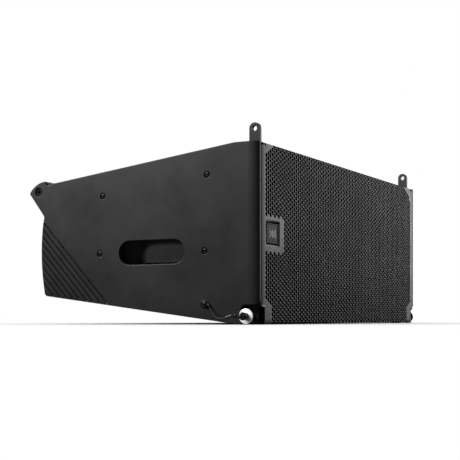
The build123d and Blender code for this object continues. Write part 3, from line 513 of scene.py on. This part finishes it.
def frames_along(points):
    """A steady set of sideways directions at each point, turned as little as possible."""
    tangents = []
    for n, _ in enumerate(points):
        before, after = points[max(n - 1, 0)], points[min(n + 1, len(points) - 1)]
        tangents.append((after - before).normalized())
    side = tangents[0].orthogonal().normalized()
    result = []
    for tangent in tangents:
        side = (side - tangent * side.dot(tangent)).normalized()
        result.append((tangent, side, tangent.cross(side)))
    return result


def add_tube(bm, points, radius, segments=12):
    rings = []
    for place, (_, side, up) in zip(points, frames_along(points)):
        ring = []
        for n in range(segments):
            angle = 2 * math.pi * n / segments
            ring.append(bm.verts.new(place + (side * math.cos(angle) + up * math.sin(angle)) * radius))
        rings.append(ring)
    for a, b in zip(rings, rings[1:]):
        for n in range(segments):
            m = (n + 1) % segments
            bm.faces.new((a[n], a[m], b[m], b[n]))
    bm.faces.new(rings[0][::-1])
    bm.faces.new(rings[-1])


STRANDS = 6
STRAND_LAY = 0.007          # length of one full turn of a strand


def build_lanyard(side, sign):
    """Wire rope: six strands laid round a core, bending between the cabinet and the pin."""
    line = curve_points(lanyard_curve(side, sign))
    dense = []
    for a, b in zip(line, line[1:]):
        pieces = max(1, round((b - a).length / 0.0006))
        dense += [a.lerp(b, n / pieces) for n in range(pieces)]
    dense.append(line[-1])
    radius = CORD_D / 2
    strand_r = radius / 3
    bm = bmesh.new()
    add_tube(bm, dense, radius * 0.55, 8)
    travelled = [0.0]
    for a, b in zip(dense, dense[1:]):
        travelled.append(travelled[-1] + (b - a).length)
    guides = frames_along(dense)
    for s in range(STRANDS):
        helix = []
        for place, gone, (_, across, up) in zip(dense, travelled, guides):
            angle = 2 * math.pi * (gone / STRAND_LAY + s / STRANDS)
            helix.append(place + (across * math.cos(angle) + up * math.sin(angle)) * (radius - strand_r))
        add_tube(bm, helix, strand_r, 6)
    piece = new_object(f"lanyard_wire_{side}", mesh_from(bm, f"lanyard_wire_{side}", 60), None,
                       MATERIALS["wire"], (f"lanyard_{side}",))
    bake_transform(piece)
    return line


WIRE_LINES = {side: build_lanyard(side, sign) for side, sign in SIDES}


# ---------------------------------------------------------------- grille

SHEET_T = 1.0
FOLD_R = 2.6
COLUMN_PITCH = 7.69
COLUMNS = 92
FIRST_COLUMN = -SIDE / MM + 28.5
HALF_ROWS = 86              # half pitches along the unrolled sheet
HOLE_R = 3.65
HOLE_SIDES = 8              # one corner of the hole for each point on its cell's outline
RETURN_X = 344.0            # outside this half width, the sheet has no top or bottom return
RETURN_BLANK = 6.0          # unperforated depth at the back of each return
TURN_R, TURN_STEPS, TURN_DEPTH = 1.6, 3, 7.0
NOTCH_X, NOTCH_Z = 358.3, 28.0
TOP_NOTCH = 4.0             # the outer margins end this far below the top
TOP_NOTCH_DEPTH = 3.0       # a strip painted near-black as painted shade closes the gap above them this far back
TOP_NOTCH_INSET = 0.3       # the strip stays this far inside the sheet's outline
TOP_NOTCH_LAP = 1.0         # and starts this far below the margins' ends
BADGE_X = (-SIDE / MM + 27.3, -SIDE / MM + 77.9)
BADGE_Z = (127.0, 164.0)
BADGE_MARGIN = (13.0, 10.5)

# Blank corners of the perforation, by side: a point on the slanting edge (distance in from the
# side plane, height), its slope, and for the lower corners the distance at which they end.
UPPER_BLANK = {-1: (30.8, 274.4, 0.66), 1: (29.0, 266.5, 0.75)}
LOWER_BLANK = {-1: (21.2, 40.6, -0.43, 41.5), 1: (28.2, 41.0, -0.54, 45.0)}


class Sheet:
    """The grille's sheet as a grid: x across, and v along it from one return to the other."""

    def __init__(self):
        low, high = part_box("grille")
        self.half = high.x / MM
        self.height = high.z / MM
        self.back = (high.y - low.y) / MM
        self.straight = self.back - FOLD_R
        self.arc = FOLD_R * math.pi / 2
        self.total = 2 * (self.straight + self.arc) + self.height - 2 * FOLD_R
        self.step = self.total / HALF_ROWS
        self.bm = bmesh.new()
        self.made = {}

    def section(self, v):
        """Depth behind the front face and height, at a distance along the sheet."""
        if v > self.total / 2:
            depth, level = self.section(self.total - v)
            return depth, self.height - level
        if v < self.straight:
            return self.back - v, 0.0
        if v < self.straight + self.arc:
            angle = (v - self.straight) / FOLD_R
            return FOLD_R * (1 - math.sin(angle)), FOLD_R * (1 - math.cos(angle))
        return 0.0, FOLD_R + v - self.straight - self.arc

    def point(self, x, v):
        key = (round(x, 3), round(v, 3))
        if key not in self.made:
            depth, level = self.section(v)
            self.made[key] = self.bm.verts.new(at(x, depth, level))
        return self.made[key]

    def node(self, x, k):
        return self.point(x, k * self.step)

    def is_front(self, k):
        return self.section(k * self.step)[0] <= 0 and self.section((k + 1) * self.step)[0] <= 0


def is_blank(sheet, x, v):
    """Where no hole is punched: returns' back edges, corners and round the badge."""
    depth, level = sheet.section(v)
    side = -1 if x < 0 else 1
    inset = SIDE / MM - abs(x)
    reach = HOLE_R * 0.8
    if depth > sheet.back - RETURN_BLANK:
        return True
    if BADGE_Z[0] - BADGE_MARGIN[1] < level < BADGE_Z[1] + BADGE_MARGIN[1]:
        if x < BADGE_X[1] + BADGE_MARGIN[0]:
            return True
    start, height, slope = UPPER_BLANK[side]
    if level + reach > height + (inset - start) * slope:
        return True
    start, height, slope, end = LOWER_BLANK[side]
    return inset - reach < end and level - reach < height + (inset - start) * slope


def add_hole_cell(sheet, x, k):
    """One cell of the sheet, two half pitches tall, with its hole."""
    side = COLUMN_PITCH / 2
    centre = (k + 1) * sheet.step
    outline = ((1, 1), (1, 2), (0, 2), (-1, 2), (-1, 1), (-1, 0), (0, 0), (1, 0))
    around, hole = [], []
    for n, (dx, dk) in enumerate(outline):
        angle = 2 * math.pi * n / HOLE_SIDES
        around.append(sheet.node(x + dx * side, k + dk))
        hole.append(sheet.point(x + HOLE_R * math.cos(angle), centre + HOLE_R * math.sin(angle)))
    for n in range(HOLE_SIDES):
        m = (n + 1) % HOLE_SIDES
        sheet.bm.faces.new((around[n], around[m], hole[m], hole[n]))


def add_plain_cell(sheet, x, k):
    side = COLUMN_PITCH / 2
    sheet.bm.faces.new([sheet.node(x + dx * side, k + dk) for dx, dk in (
        (-1, 0), (0, 0), (1, 0), (1, 1), (0, 1), (-1, 1))])


def add_window_frame(sheet, columns, rows):
    """Four faces between the grid's edge and the badge's window."""
    side = COLUMN_PITCH / 2
    x0 = FIRST_COLUMN + columns[0] * COLUMN_PITCH - side
    k0, k1 = rows[0], rows[-1] + 1
    inner = [sheet.bm.verts.new(at(BADGE_X[i], 0.0, BADGE_Z[j]))
             for i, j in ((0, 0), (1, 0), (1, 1), (0, 1))]
    xs = [x0 + n * side for n in range(2 * len(columns) + 1)]
    ks = list(range(k0, k1 + 1))
    sheet.bm.faces.new([sheet.node(x, k0) for x in xs] + [inner[1], inner[0]])
    sheet.bm.faces.new([sheet.node(xs[-1], k) for k in ks] + [inner[2], inner[1]])
    sheet.bm.faces.new([sheet.node(x, k1) for x in reversed(xs)] + [inner[3], inner[2]])
    sheet.bm.faces.new([sheet.node(x0, k) for k in reversed(ks)] + [inner[0], inner[3]])


def add_margin(sheet, side, grid_x):
    """The blank margin beyond the last column, its notches and its turned-in end."""
    end = sheet.height - TOP_NOTCH
    levels = [0.0, NOTCH_Z, end]
    for k in range(HALF_ROWS):
        if sheet.is_front(k):
            levels.append(sheet.section(k * sheet.step)[1])
    levels = sorted(set(round(z, 4) for z in levels if z <= end))
    for low, high in zip(levels, levels[1:]):
        limit = sheet.half - TURN_R if low >= NOTCH_Z else NOTCH_X
        path = [(grid_x, 0.0), (side * limit, 0.0)]
        if low >= NOTCH_Z:
            for n in range(1, TURN_STEPS + 1):
                angle = math.pi / 2 * n / TURN_STEPS
                path.append((side * (sheet.half - TURN_R + TURN_R * math.sin(angle)),
                             TURN_R * (1 - math.cos(angle))))
            path.append((side * sheet.half, TURN_DEPTH))
        pairs = [[sheet.bm.verts.new(at(x, depth, z)) for z in (low, high)] for x, depth in path]
        for a, b in zip(pairs, pairs[1:]):
            sheet.bm.faces.new((a[0], a[1], b[1], b[0]))
    top = sheet.height - TOP_NOTCH_INSET
    bottom = end - TOP_NOTCH_LAP
    outer = side * (sheet.half - TOP_NOTCH_INSET)
    corners = ((grid_x, bottom), (outer, bottom), (outer, top), (grid_x, top))
    # The strip takes the near-black second material: painted shade in the gap above the margins.
    shadow = sheet.bm.faces.new([sheet.bm.verts.new(at(x, TOP_NOTCH_DEPTH, z)) for x, z in corners])
    shadow.material_index = 1


def build_grille():
    """One folded sheet with real holes: flat front, rolled top and bottom, turned-in ends."""
    sheet = Sheet()
    side = COLUMN_PITCH / 2
    columns = [c for c in range(COLUMNS)
               if BADGE_X[0] - 3 < FIRST_COLUMN + c * COLUMN_PITCH < BADGE_X[1] + 3]
    rows = [k for k in range(HALF_ROWS) if sheet.is_front(k)
            and sheet.section(k * sheet.step)[1] > BADGE_Z[0] - 4
            and sheet.section((k + 1) * sheet.step)[1] < BADGE_Z[1] + 4]
    for c in range(COLUMNS):
        x = FIRST_COLUMN + c * COLUMN_PITCH
        k = 0
        while k < HALF_ROWS:
            deepest = max(sheet.section(k * sheet.step)[0], sheet.section((k + 1) * sheet.step)[0])
            if abs(x) + side > RETURN_X and deepest > FOLD_R + sheet.step:
                k += 1
            elif (k % 2 == c % 2 and k + 2 <= HALF_ROWS
                    and not is_blank(sheet, x, (k + 1) * sheet.step)):
                add_hole_cell(sheet, x, k)
                k += 2
            else:
                if c not in columns or k not in rows:
                    add_plain_cell(sheet, x, k)
                k += 1
    add_window_frame(sheet, columns, rows)
    add_margin(sheet, -1, FIRST_COLUMN - side)
    add_margin(sheet, 1, FIRST_COLUMN + (COLUMNS - 1) * COLUMN_PITCH + side)
    bmesh.ops.remove_doubles(sheet.bm, verts=sheet.bm.verts, dist=1e-5)
    piece = new_object("grille_sheet", mesh_from(sheet.bm, "grille_sheet", 40), "cabinet",
                       MATERIALS["grille_steel"], ("grille",))
    solid = piece.modifiers.new("thickness", "SOLIDIFY")
    solid.thickness = SHEET_T * MM
    solid.offset = -1
    solid.use_even_offset = True
    # The rim faces, that is the hole walls and the sheet's cut edges, take the near-black second
    # material: painted shade inside the holes.
    piece.data.materials.append(MATERIALS["painted_shade_black"])
    solid.material_offset_rim = 1


build_grille()


# ---------------------------------------------------------------- badge

BADGE_GAP = (3.2, 2.2)      # dark gap between the window and the plate
BADGE_FACE, BADGE_RIM, BADGE_BACK = 0.9, 0.2, 4.4      # depths behind the grille's front
RIM_CHAMFER, RIM_INNER = 0.4, 1.7
TRAY_GROW, TRAY_FRONT, TRAY_BACK = 3.0, 1.6, 5.0
BAR_LEVELS = (1.0, 0.55, 0.9, 0.7, 1.0)
BAR_PITCH, BAR_W, BAR_HALF = 5.0, 2.8, 7.5
BAR_FRONT, BAR_BACK = 0.35, 0.2                        # in front of the plate's face, and behind
BAR_EDGE = 0.15


def badge_ring(bm, inset, depth):
    """A rectangle of points, inset from the badge's window."""
    x0, x1 = BADGE_X[0] + inset[0], BADGE_X[1] - inset[0]
    z0, z1 = BADGE_Z[0] + inset[1], BADGE_Z[1] - inset[1]
    return [bm.verts.new(at(x, depth, z)) for x, z in ((x0, z0), (x1, z0), (x1, z1), (x0, z1))]


def add_rings(bm, rings):
    for a, b in zip(rings, rings[1:]):
        for n in range(4):
            m = (n + 1) % 4
            bm.faces.new((a[n], a[m], b[m], b[n]))
    bm.faces.new(rings[-1])
    bm.faces.new(rings[0][::-1])


def build_badge():
    """A blank plate with a raised rim and plain bars, in a tray painted near-black as painted shade
    behind the window.
    """
    bm = bmesh.new()

    def plate_ring(more, depth):
        return badge_ring(bm, (BADGE_GAP[0] + more, BADGE_GAP[1] + more), depth)

    add_rings(bm, [plate_ring(0, BADGE_BACK), plate_ring(0, BADGE_RIM + RIM_CHAMFER),
                   plate_ring(RIM_CHAMFER, BADGE_RIM), plate_ring(RIM_INNER, BADGE_RIM),
                   plate_ring(RIM_INNER + RIM_CHAMFER, BADGE_FACE)])
    bm.faces.ensure_lookup_table()
    # The plate's outer walls take the near-black second material: painted shade in the gap round the
    # plate.
    for wall in bm.faces[:4]:
        wall.material_index = 1
    plate = new_object("badge_face", mesh_from(bm, "badge_face", 30), "cabinet",
                       MATERIALS["badge"], ("badge_plate",))
    plate.data.materials.append(MATERIALS["painted_shade_black"])

    # The tray is painted near-black: painted shade behind the gap round the plate.
    tray = bmesh.new()
    outer, inner = (-TRAY_GROW, -TRAY_GROW), (-0.3, -0.3)
    add_rings(tray, [badge_ring(tray, outer, TRAY_BACK), badge_ring(tray, outer, TRAY_FRONT),
                     badge_ring(tray, inner, TRAY_FRONT), badge_ring(tray, inner, TRAY_BACK - 0.5)])
    new_object("badge_tray", mesh_from(tray, "badge_tray", 30), "cabinet",
               MATERIALS["painted_shade_black"])

    bars = bmesh.new()
    centre_x, centre_z = sum(BADGE_X) / 2, sum(BADGE_Z) / 2
    for n, level in enumerate(BAR_LEVELS):
        x = centre_x + (n - len(BAR_LEVELS) // 2) * BAR_PITCH
        tall = BAR_HALF * level
        add_box(bars, at(x - BAR_W / 2, BADGE_FACE - BAR_FRONT, centre_z - tall),
                at(x + BAR_W / 2, BADGE_FACE + BAR_BACK, centre_z + tall))
    emblem = new_object("badge_bars", mesh_from(bars, "badge_bars"), "cabinet",
                        MATERIALS["badge_bars"])
    bevelled(emblem, BAR_EDGE * MM)


build_badge()


# ---------------------------------------------------------------- ribbed rear corners

RIB_TOP, RIB_LOW = Vector((413.8, 176.1)), Vector((279.9, 33.3))    # ends of its edge, as (Y, Z)
RIB_PITCH = 8.9
RIB_START = 2.4             # gap between the panel's edge and the first rib
RIB_T = 5.0
RIB_FADE = 5.0              # grooves fade out this near the outline
RIB_PROFILE = ((0.0, 3.0), (0.11, 3.0), (0.16, 0.12), (0.22, 0.0), (0.6, 0.12), (0.9, 0.36),
               (0.97, 0.6))  # part of a pitch, depth below the crest
RIB_COLUMNS = 26
RIB_OVERRUN = 90            # the outline starts this far in front of the ribbed edge's lower end
EAR_FOOT = Vector((414.9, 186.8))       # where the outline meets the ear, as (Y, Z)
REAR_Y = 412.7
REAR_ARC = (Vector((420.4, 118.0)), Vector((416.4, 179.6)))
BASE_FLAT, WEDGE = 35.0, math.radians(7.34)


def arc_through(start, middle, end, count):
    """Points on the circle through three points."""
    ax, ay = middle - start
    bx, by = end - start
    twice = 2 * (ax * by - ay * bx)
    a2, b2 = ax * ax + ay * ay, bx * bx + by * by
    centre = start + Vector(((by * a2 - ay * b2) / twice, (ax * b2 - bx * a2) / twice))
    first, last = start - centre, end - centre
    sweep = first.angle_signed(last)
    return [centre + Matrix.Rotation(-sweep * n / count, 2) @ first for n in range(count + 1)]


def base_line(y):
    """The cabinet's sloping lower edge."""
    return max(0.0, (y - BASE_FLAT) * math.tan(WEDGE))


def rib_outline():
    rear = Vector((REAR_Y, base_line(REAR_Y)))
    outline = [Vector((RIB_LOW.x - RIB_OVERRUN, base_line(RIB_LOW.x - RIB_OVERRUN)))]
    outline += arc_through(rear, *REAR_ARC, 20)
    outline.append(EAR_FOOT)
    return outline


def build_rib_corner(side, sign):
    """The ribbed insert: convex ribs between V grooves that fade out at its outline."""
    outline = rib_outline()
    along = (RIB_TOP - RIB_LOW).normalized()
    away = Vector((along.y, -along.x))
    start = RIB_LOW

    def crossing(offset):
        """Where a line beside the ribbed edge enters and leaves the outline."""
        found = []
        for a, b in zip(outline, outline[1:] + outline[:1]):
            da, db = (a - start).dot(away) - offset, (b - start).dot(away) - offset
            if (da < 0) != (db < 0):
                found.append((a.lerp(b, da / (da - db)) - start).dot(along))
        return (min(found), max(found)) if len(found) > 1 else None

    deepest = max((p - start).dot(away) for p in outline)
    rows = [(RIB_START - 0.9, RIB_T), (RIB_START - 0.9, 1.0)]
    offset = RIB_START
    while offset < deepest - 1.0:
        rows += [(offset + part * RIB_PITCH, depth) for part, depth in RIB_PROFILE
                 if offset + part * RIB_PITCH < deepest - 0.8]
        offset += RIB_PITCH
    bm = bmesh.new()
    grid = []
    for row, depth in rows:
        low, high = crossing(row)
        line = []
        for n in range(RIB_COLUMNS + 1):
            part = n / RIB_COLUMNS
            reach = low + (high - low) * (part * part * (3 - 2 * part))
            near = min(reach - low, high - reach) / RIB_FADE
            fade = min(1.0, near) if depth < RIB_T else 1.0
            drop = 0.5 + (depth - 0.5) * fade if depth < RIB_T else RIB_T
            place = start + along * reach + away * row
            line.append(bm.verts.new(at(sign * (SIDE / MM - drop + 0.05), place.x, place.y)))
        grid.append(line)
    for a, b in zip(grid, grid[1:]):
        for n in range(RIB_COLUMNS):
            bm.faces.new((a[n], a[n + 1], b[n + 1], b[n]))
    rim = [e for e in bm.edges if e.is_boundary and not all(v in grid[0] for v in e.verts)]
    walls = bmesh.ops.extrude_edge_only(bm, edges=rim)["geom"]
    for vertex in (g for g in walls if isinstance(g, bmesh.types.BMVert)):
        vertex.co.x = sign * (SIDE - RIB_T * MM)
    new_object(f"rib_insert_{side}", mesh_from(bm, f"rib_insert_{side}", 50), "cabinet",
               MATERIALS["rib_plastic"], (f"rib_corner_{side}",))


for side_name, side_sign in SIDES:
    build_rib_corner(side_name, side_sign)


# ---------------------------------------------------------------- screws

def add_screw(bm, place, outward, head_r=4.8 * MM, head_h=2.6 * MM, socket=1.7 * MM):
    """Button head with a hexagonal socket; place is the middle of the head's top."""
    forward, side, up = axes_for(outward)
    segments = 36
    profile = [(head_r, -head_h), (head_r, -head_h * 0.78), (head_r * 0.94, -head_h * 0.45),
               (head_r * 0.78, -head_h * 0.16), (head_r * 0.56, 0.0), (socket * 1.12, 0.0)]
    rings = add_lathe(bm, profile, place, outward, segments)
    hexagon_top, hexagon_low = [], []
    for n in range(segments):
        angle = 2 * math.pi * n / segments
        sector = (angle % (math.pi / 3)) - math.pi / 6
        radius = socket * math.cos(math.pi / 6) / math.cos(sector)
        spoke = side * math.cos(angle) + up * math.sin(angle)
        hexagon_top.append(bm.verts.new(place + spoke * radius - forward * 0.1 * MM))
        hexagon_low.append(bm.verts.new(place + spoke * radius - forward * 1.6 * MM))
    for a, b in ((rings[-1], hexagon_top), (hexagon_top, hexagon_low)):
        for n in range(segments):
            m = (n + 1) % segments
            bm.faces.new((a[n], a[m], b[m], b[n]))
    bm.faces.new(hexagon_low)
    bm.faces.new(rings[0][::-1])


PANEL_SCREWS = [(91.8, 240.0), (96.0, 118.0), (292.3, 215.3), (298.5, 118.6)]
LUG_SCREW = (94.0, 32.0)
AMP_FRONT = 395.0
AMP_SCREWS = [(x, z) for x in (-157.0, 157.0) for z in (70.0, 145.0, 220.0)]


def build_screws():
    edge = SIDE / MM
    bm = bmesh.new()
    for _, sign in SIDES:
        for y, z in PANEL_SCREWS:
            add_screw(bm, at(sign * (edge - 0.3), y, z), (sign, 0, 0))
        add_screw(bm, at(sign * (edge + 4.0), *LUG_SCREW), (sign, 0, 0))
    for x, z in AMP_SCREWS:
        add_screw(bm, at(x, AMP_FRONT + 2.6, z), (0, 1, 0))
    for x in (-250.0, 0.0, 250.0):
        for z, sign in ((0.25, -1), (HEIGHT / MM - 0.25, 1)):
            add_screw(bm, at(x, 18.0, z), (0, 0, sign), 2.4 * MM, 1.2 * MM, 1.2 * MM)
    new_object("panel_screw_heads", mesh_from(bm, "panel_screw_heads", 35), "cabinet",
               MATERIALS["black_screws"], ("panel_screws",))


build_screws()


# ---------------------------------------------------------------- release pins and lanyards

PIN_Y, PIN_Z = 17.0, 13.0
DISC_R = 12.25
DISC_OUT = 10.0
FRONT_FACE_LIMIT = 8.1      # behind this depth the disc and shank take the dark button material, as painted shade on the disc's unlit back
TIP_OUT = 28.0
SHANK_IN = 33.0
EYE_OUT = 20.0
EYE_END_Y = 34.0


def build_pin(side, sign):
    """Thin bright disc on a steel shank, and the dark spindle with its rings."""
    edge = SIDE / MM
    origin = at(sign * edge, PIN_Y, PIN_Z)
    outward = (sign, 0, 0)
    bright = bmesh.new()
    add_lathe(bright, [(r * MM, d * MM) for r, d in (
        (0, -SHANK_IN), (2.6, -SHANK_IN), (3.4, -SHANK_IN + 0.8), (4.0, -SHANK_IN + 2.4),
        (4.0, 0.6), (6.2, 0.6), (6.5, 0.9), (6.5, DISC_OUT - 2.0), (DISC_R - 0.5, DISC_OUT - 2.0),
        (DISC_R, DISC_OUT - 1.6), (DISC_R, DISC_OUT - 0.8), (DISC_R - 0.2, DISC_OUT - 0.3),
        (DISC_R - 0.7, DISC_OUT), (DISC_R - 1.7, DISC_OUT), (DISC_R - 1.9, DISC_OUT - 0.35),
        (DISC_R - 2.2, DISC_OUT - 0.35), (DISC_R - 2.4, DISC_OUT), (5.2, DISC_OUT),
        (5.2, DISC_OUT - 0.4), (0, DISC_OUT - 0.4))], origin, outward, 72)
    inner_face = FRONT_FACE_LIMIT * MM
    # Faces behind the limit take the dark second material: painted shade on the disc's back and on the
    # shank behind it.
    for face in bright.faces:
        if (face.calc_center_median().x - origin.x) * sign < inner_face:
            face.material_index = 1
    disc = new_object(f"pin_disc_{side}", mesh_from(bright, f"pin_disc_{side}", 28), f"pin_{side}",
                      MATERIALS["pin_steel"], (f"release_pin_{side}",))
    disc.data.materials.append(MATERIALS["button_steel"])

    dark = bmesh.new()
    add_lathe(dark, [(r * MM, d * MM) for r, d in (
        (0, DISC_OUT - 1.0), (5.1, DISC_OUT - 1.0), (5.3, DISC_OUT + 0.8), (4.9, DISC_OUT + 1.3),
        (4.1, DISC_OUT + 2.2), (4.0, TIP_OUT - 4.6), (4.6, TIP_OUT - 3.9), (4.7, TIP_OUT - 2.6),
        (4.4, TIP_OUT - 2.2), (4.4, TIP_OUT - 1.6), (4.7, TIP_OUT - 1.2), (4.4, TIP_OUT - 0.3),
        (3.7, TIP_OUT), (2.95, TIP_OUT), (2.9, TIP_OUT - 8.0), (0, TIP_OUT - 8.0))],
        origin, outward, 48)
    collar = [(4.02, -1.0), (5.9, -1.0), (6.4, -0.5), (6.4, 0.5), (5.9, 1.0), (4.02, 1.0)]
    closed = collar + collar[:1]
    add_lathe(dark, [(r * MM, (EYE_OUT + d) * MM) for r, d in closed], origin, outward, 48)
    new_object(f"pin_spindle_{side}", mesh_from(dark, f"pin_spindle_{side}", 30), f"pin_{side}",
               MATERIALS["button_steel"])

    tab = bmesh.new()
    outline = []
    for n in range(13):
        angle = -math.pi / 2 + math.pi * n / 12
        outline.append(at(0, EYE_END_Y - 3.0 + 3.0 * math.cos(angle), PIN_Z + 3.0 * math.sin(angle)))
    outline += [at(0, PIN_Y + 5.2, PIN_Z + 3.4), at(0, PIN_Y + 5.2, PIN_Z - 3.4)]
    add_prism(tab, outline, Vector((sign * (edge + EYE_OUT - 0.9) * MM, 0, 0)),
              Vector((sign * (edge + EYE_OUT + 0.9) * MM, 0, 0)), 0.3 * MM)
    new_object(f"pin_tab_{side}", mesh_from(tab, f"pin_tab_{side}", 35), f"pin_{side}",
               MATERIALS["lug_steel"])

    button = bmesh.new()
    low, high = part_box(f"pin_button_{side}")
    length = (high.x - low.x) / MM
    tip = TIP_OUT + 2.6
    add_lathe(button, [(r * MM, d * MM) for r, d in (
        (0, tip - length), (2.5, tip - length), (2.5, tip - 1.4), (2.2, tip - 0.6),
        (1.4, tip - 0.1), (0, tip))], origin, outward, 40)
    new_object(f"pin_button_cap_{side}", mesh_from(button, f"pin_button_cap_{side}", 40),
               f"button_{side}", MATERIALS["button_steel"], (f"pin_button_{side}",))


def build_crimps(side, sign, line):
    """The lug under the anchor screw and the pressed sleeves on the wire's two ends."""
    edge = SIDE / MM
    sleeve = bmesh.new()
    inward = (line[-1] - line[-2]).normalized()
    profile = [(0, 0.3), (1.3, 0.3), (2.0, 0.8), (2.1, 3.4), (1.9, 3.9), (1.9, 4.6), (2.1, 5.1),
               (2.1, 9.4), (1.7, 11.6), (1.1, 12.6), (0, 12.6)]
    add_lathe(sleeve, [(r * MM, d * MM) for r, d in profile], line[-1] - inward * 0.0006,
              inward, 28)
    new_object(f"pin_crimp_{side}", mesh_from(sleeve, f"pin_crimp_{side}", 30), f"pin_{side}",
               MATERIALS["sleeve"])
    lug = bmesh.new()
    outline = []
    y, z = LUG_SCREW
    for n in range(22):
        angle = math.radians(-60 + 240 * n / 21)
        outline.append(at(0, y + 2.6 + 8.6 * math.sin(angle), z + 0.6 + 6.2 * math.cos(angle)))
    crimp = route_place(0, LANYARD_ROUTE[0])
    outline += [crimp + Vector((0, dy * MM, dz * MM)) for dy, dz in ((-0.4, 1.2), (0.4, 4.4))]
    add_prism(lug, outline, Vector((sign * edge * MM, 0, 0)),
              Vector((sign * (edge + 1.5) * MM, 0, 0)), 0.3 * MM)
    start = line[0]
    backward = (line[0] - line[1]).normalized()
    add_lathe(lug, [(r * MM, d * MM) for r, d in (
        (0, -0.2), (1.3, -0.2), (1.9, 0.3), (1.9, 4.6), (1.5, 5.6), (0, 5.6))],
        start, backward, 24)
    return mesh_from(lug, f"lanyard_lug_{side}", 35)


for side_name, side_sign in SIDES:
    build_pin(side_name, side_sign)
    lug_mesh = build_crimps(side_name, side_sign, WIRE_LINES[side_name])
    lug_piece = new_object(f"lanyard_lug_{side_name}", lug_mesh, "cabinet",
                           MATERIALS["lug_steel"])
    if side_sign < 0:
        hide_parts("lanyard_lugs")


# ---------------------------------------------------------------- studio

FLOOR_LAMP = 3.85
FLOOR_REACH = 60.0
WORLD_LIGHT = 0.05          # strength of the white surroundings as a light
OBJECT_LIGHTING = bpy.data.collections.new("all_but_the_floor")
POCKETS = bpy.data.collections.new("hand_pockets")
DISCS = bpy.data.collections.new("pin_discs")
for side_name, _ in SIDES:
    POCKETS.objects.link(frame["nodes"][f"handle_cup_{side_name}"])
    DISCS.objects.link(bpy.data.objects[f"pin_disc_{side_name}"])


def area_light(name, place, target, width, height, power, lit=OBJECT_LIGHTING):
    data = bpy.data.lights.new(name, "AREA")
    data.shape = "RECTANGLE"
    data.size = width
    data.size_y = height
    data.energy = power
    light = bpy.data.objects.new(name, data)
    light.location = place
    light.rotation_euler = (Vector(target) - Vector(place)).to_track_quat("-Z", "Y").to_euler()
    light.light_linking.receiver_collection = lit
    bpy.context.scene.collection.objects.link(light)


def build_floor():
    """A plain white floor, lit by a lamp of its own so that its soft shadows stay light."""
    mesh = bpy.data.meshes.new("floor")
    corners = [(x * FLOOR_REACH, y * FLOOR_REACH, 0) for x, y in ((-1, -1), (1, -1), (1, 1), (-1, 1))]
    mesh.from_pydata(corners, [], [(0, 1, 2, 3)])
    floor = bpy.data.objects.new("floor", mesh)
    bpy.context.scene.collection.objects.link(floor)
    n = Nodes("floor_paint")
    rays = n.tree.nodes.new("ShaderNodeLightPath")
    n.set(Base_Color=n.mix(rays.outputs["Is Camera Ray"], (0.12, 0.12, 0.12), (0.80, 0.80, 0.80)),
          Roughness=0.9)
    n.shader.inputs["Specular IOR Level"].default_value = 0.0
    mesh.materials.append(n.material)

    sky = bpy.data.lights.new("floor_lamp", "SUN")
    sky.energy = FLOOR_LAMP
    sky.angle = math.radians(150)
    lamp = bpy.data.objects.new("floor_lamp", sky)
    bpy.context.scene.collection.objects.link(lamp)
    lit = bpy.data.collections.new("lit_by_floor_lamp")
    lit.objects.link(floor)
    lamp.light_linking.receiver_collection = lit
    OBJECT_LIGHTING.objects.link(floor)
    OBJECT_LIGHTING.collection_objects[0].light_linking.link_state = "EXCLUDE"


def build_studio():
    bpy.context.scene.view_settings.view_transform = "Standard"
    build_floor()
    world = bpy.data.worlds.new("studio")
    bpy.context.scene.world = world
    world.use_nodes = True
    tree = world.node_tree
    background = tree.nodes["Background"]
    background.inputs["Color"].default_value = (1, 1, 1, 1)
    rays = tree.nodes.new("ShaderNodeLightPath")
    level = tree.nodes.new("ShaderNodeMapRange")
    level.inputs["To Min"].default_value = WORLD_LIGHT
    level.inputs["To Max"].default_value = 1.0
    tree.links.new(rays.outputs["Is Camera Ray"], level.inputs["Value"])
    tree.links.new(level.outputs[0], background.inputs["Strength"])

    area_light("rear_left", (-1.15, 1.0, 1.2), (-0.38, 0.05, 0.25), 1.0, 0.6, 40)
    area_light("front_right", (2.9, -1.35, 0.95), (0.2, -0.2, 0.12), 1.6, 1.8, 25)
    area_light("pocket_fill", (-2.5, 1.2, 0.4), (-0.38, 0.0, 0.12), 0.5, 0.3, 6, POCKETS)
    area_light("disc_fill", (-1.6, 0.5, 0.5), (-0.39, -0.2, 0.013), 0.9, 0.6, 12, DISCS)


build_studio()
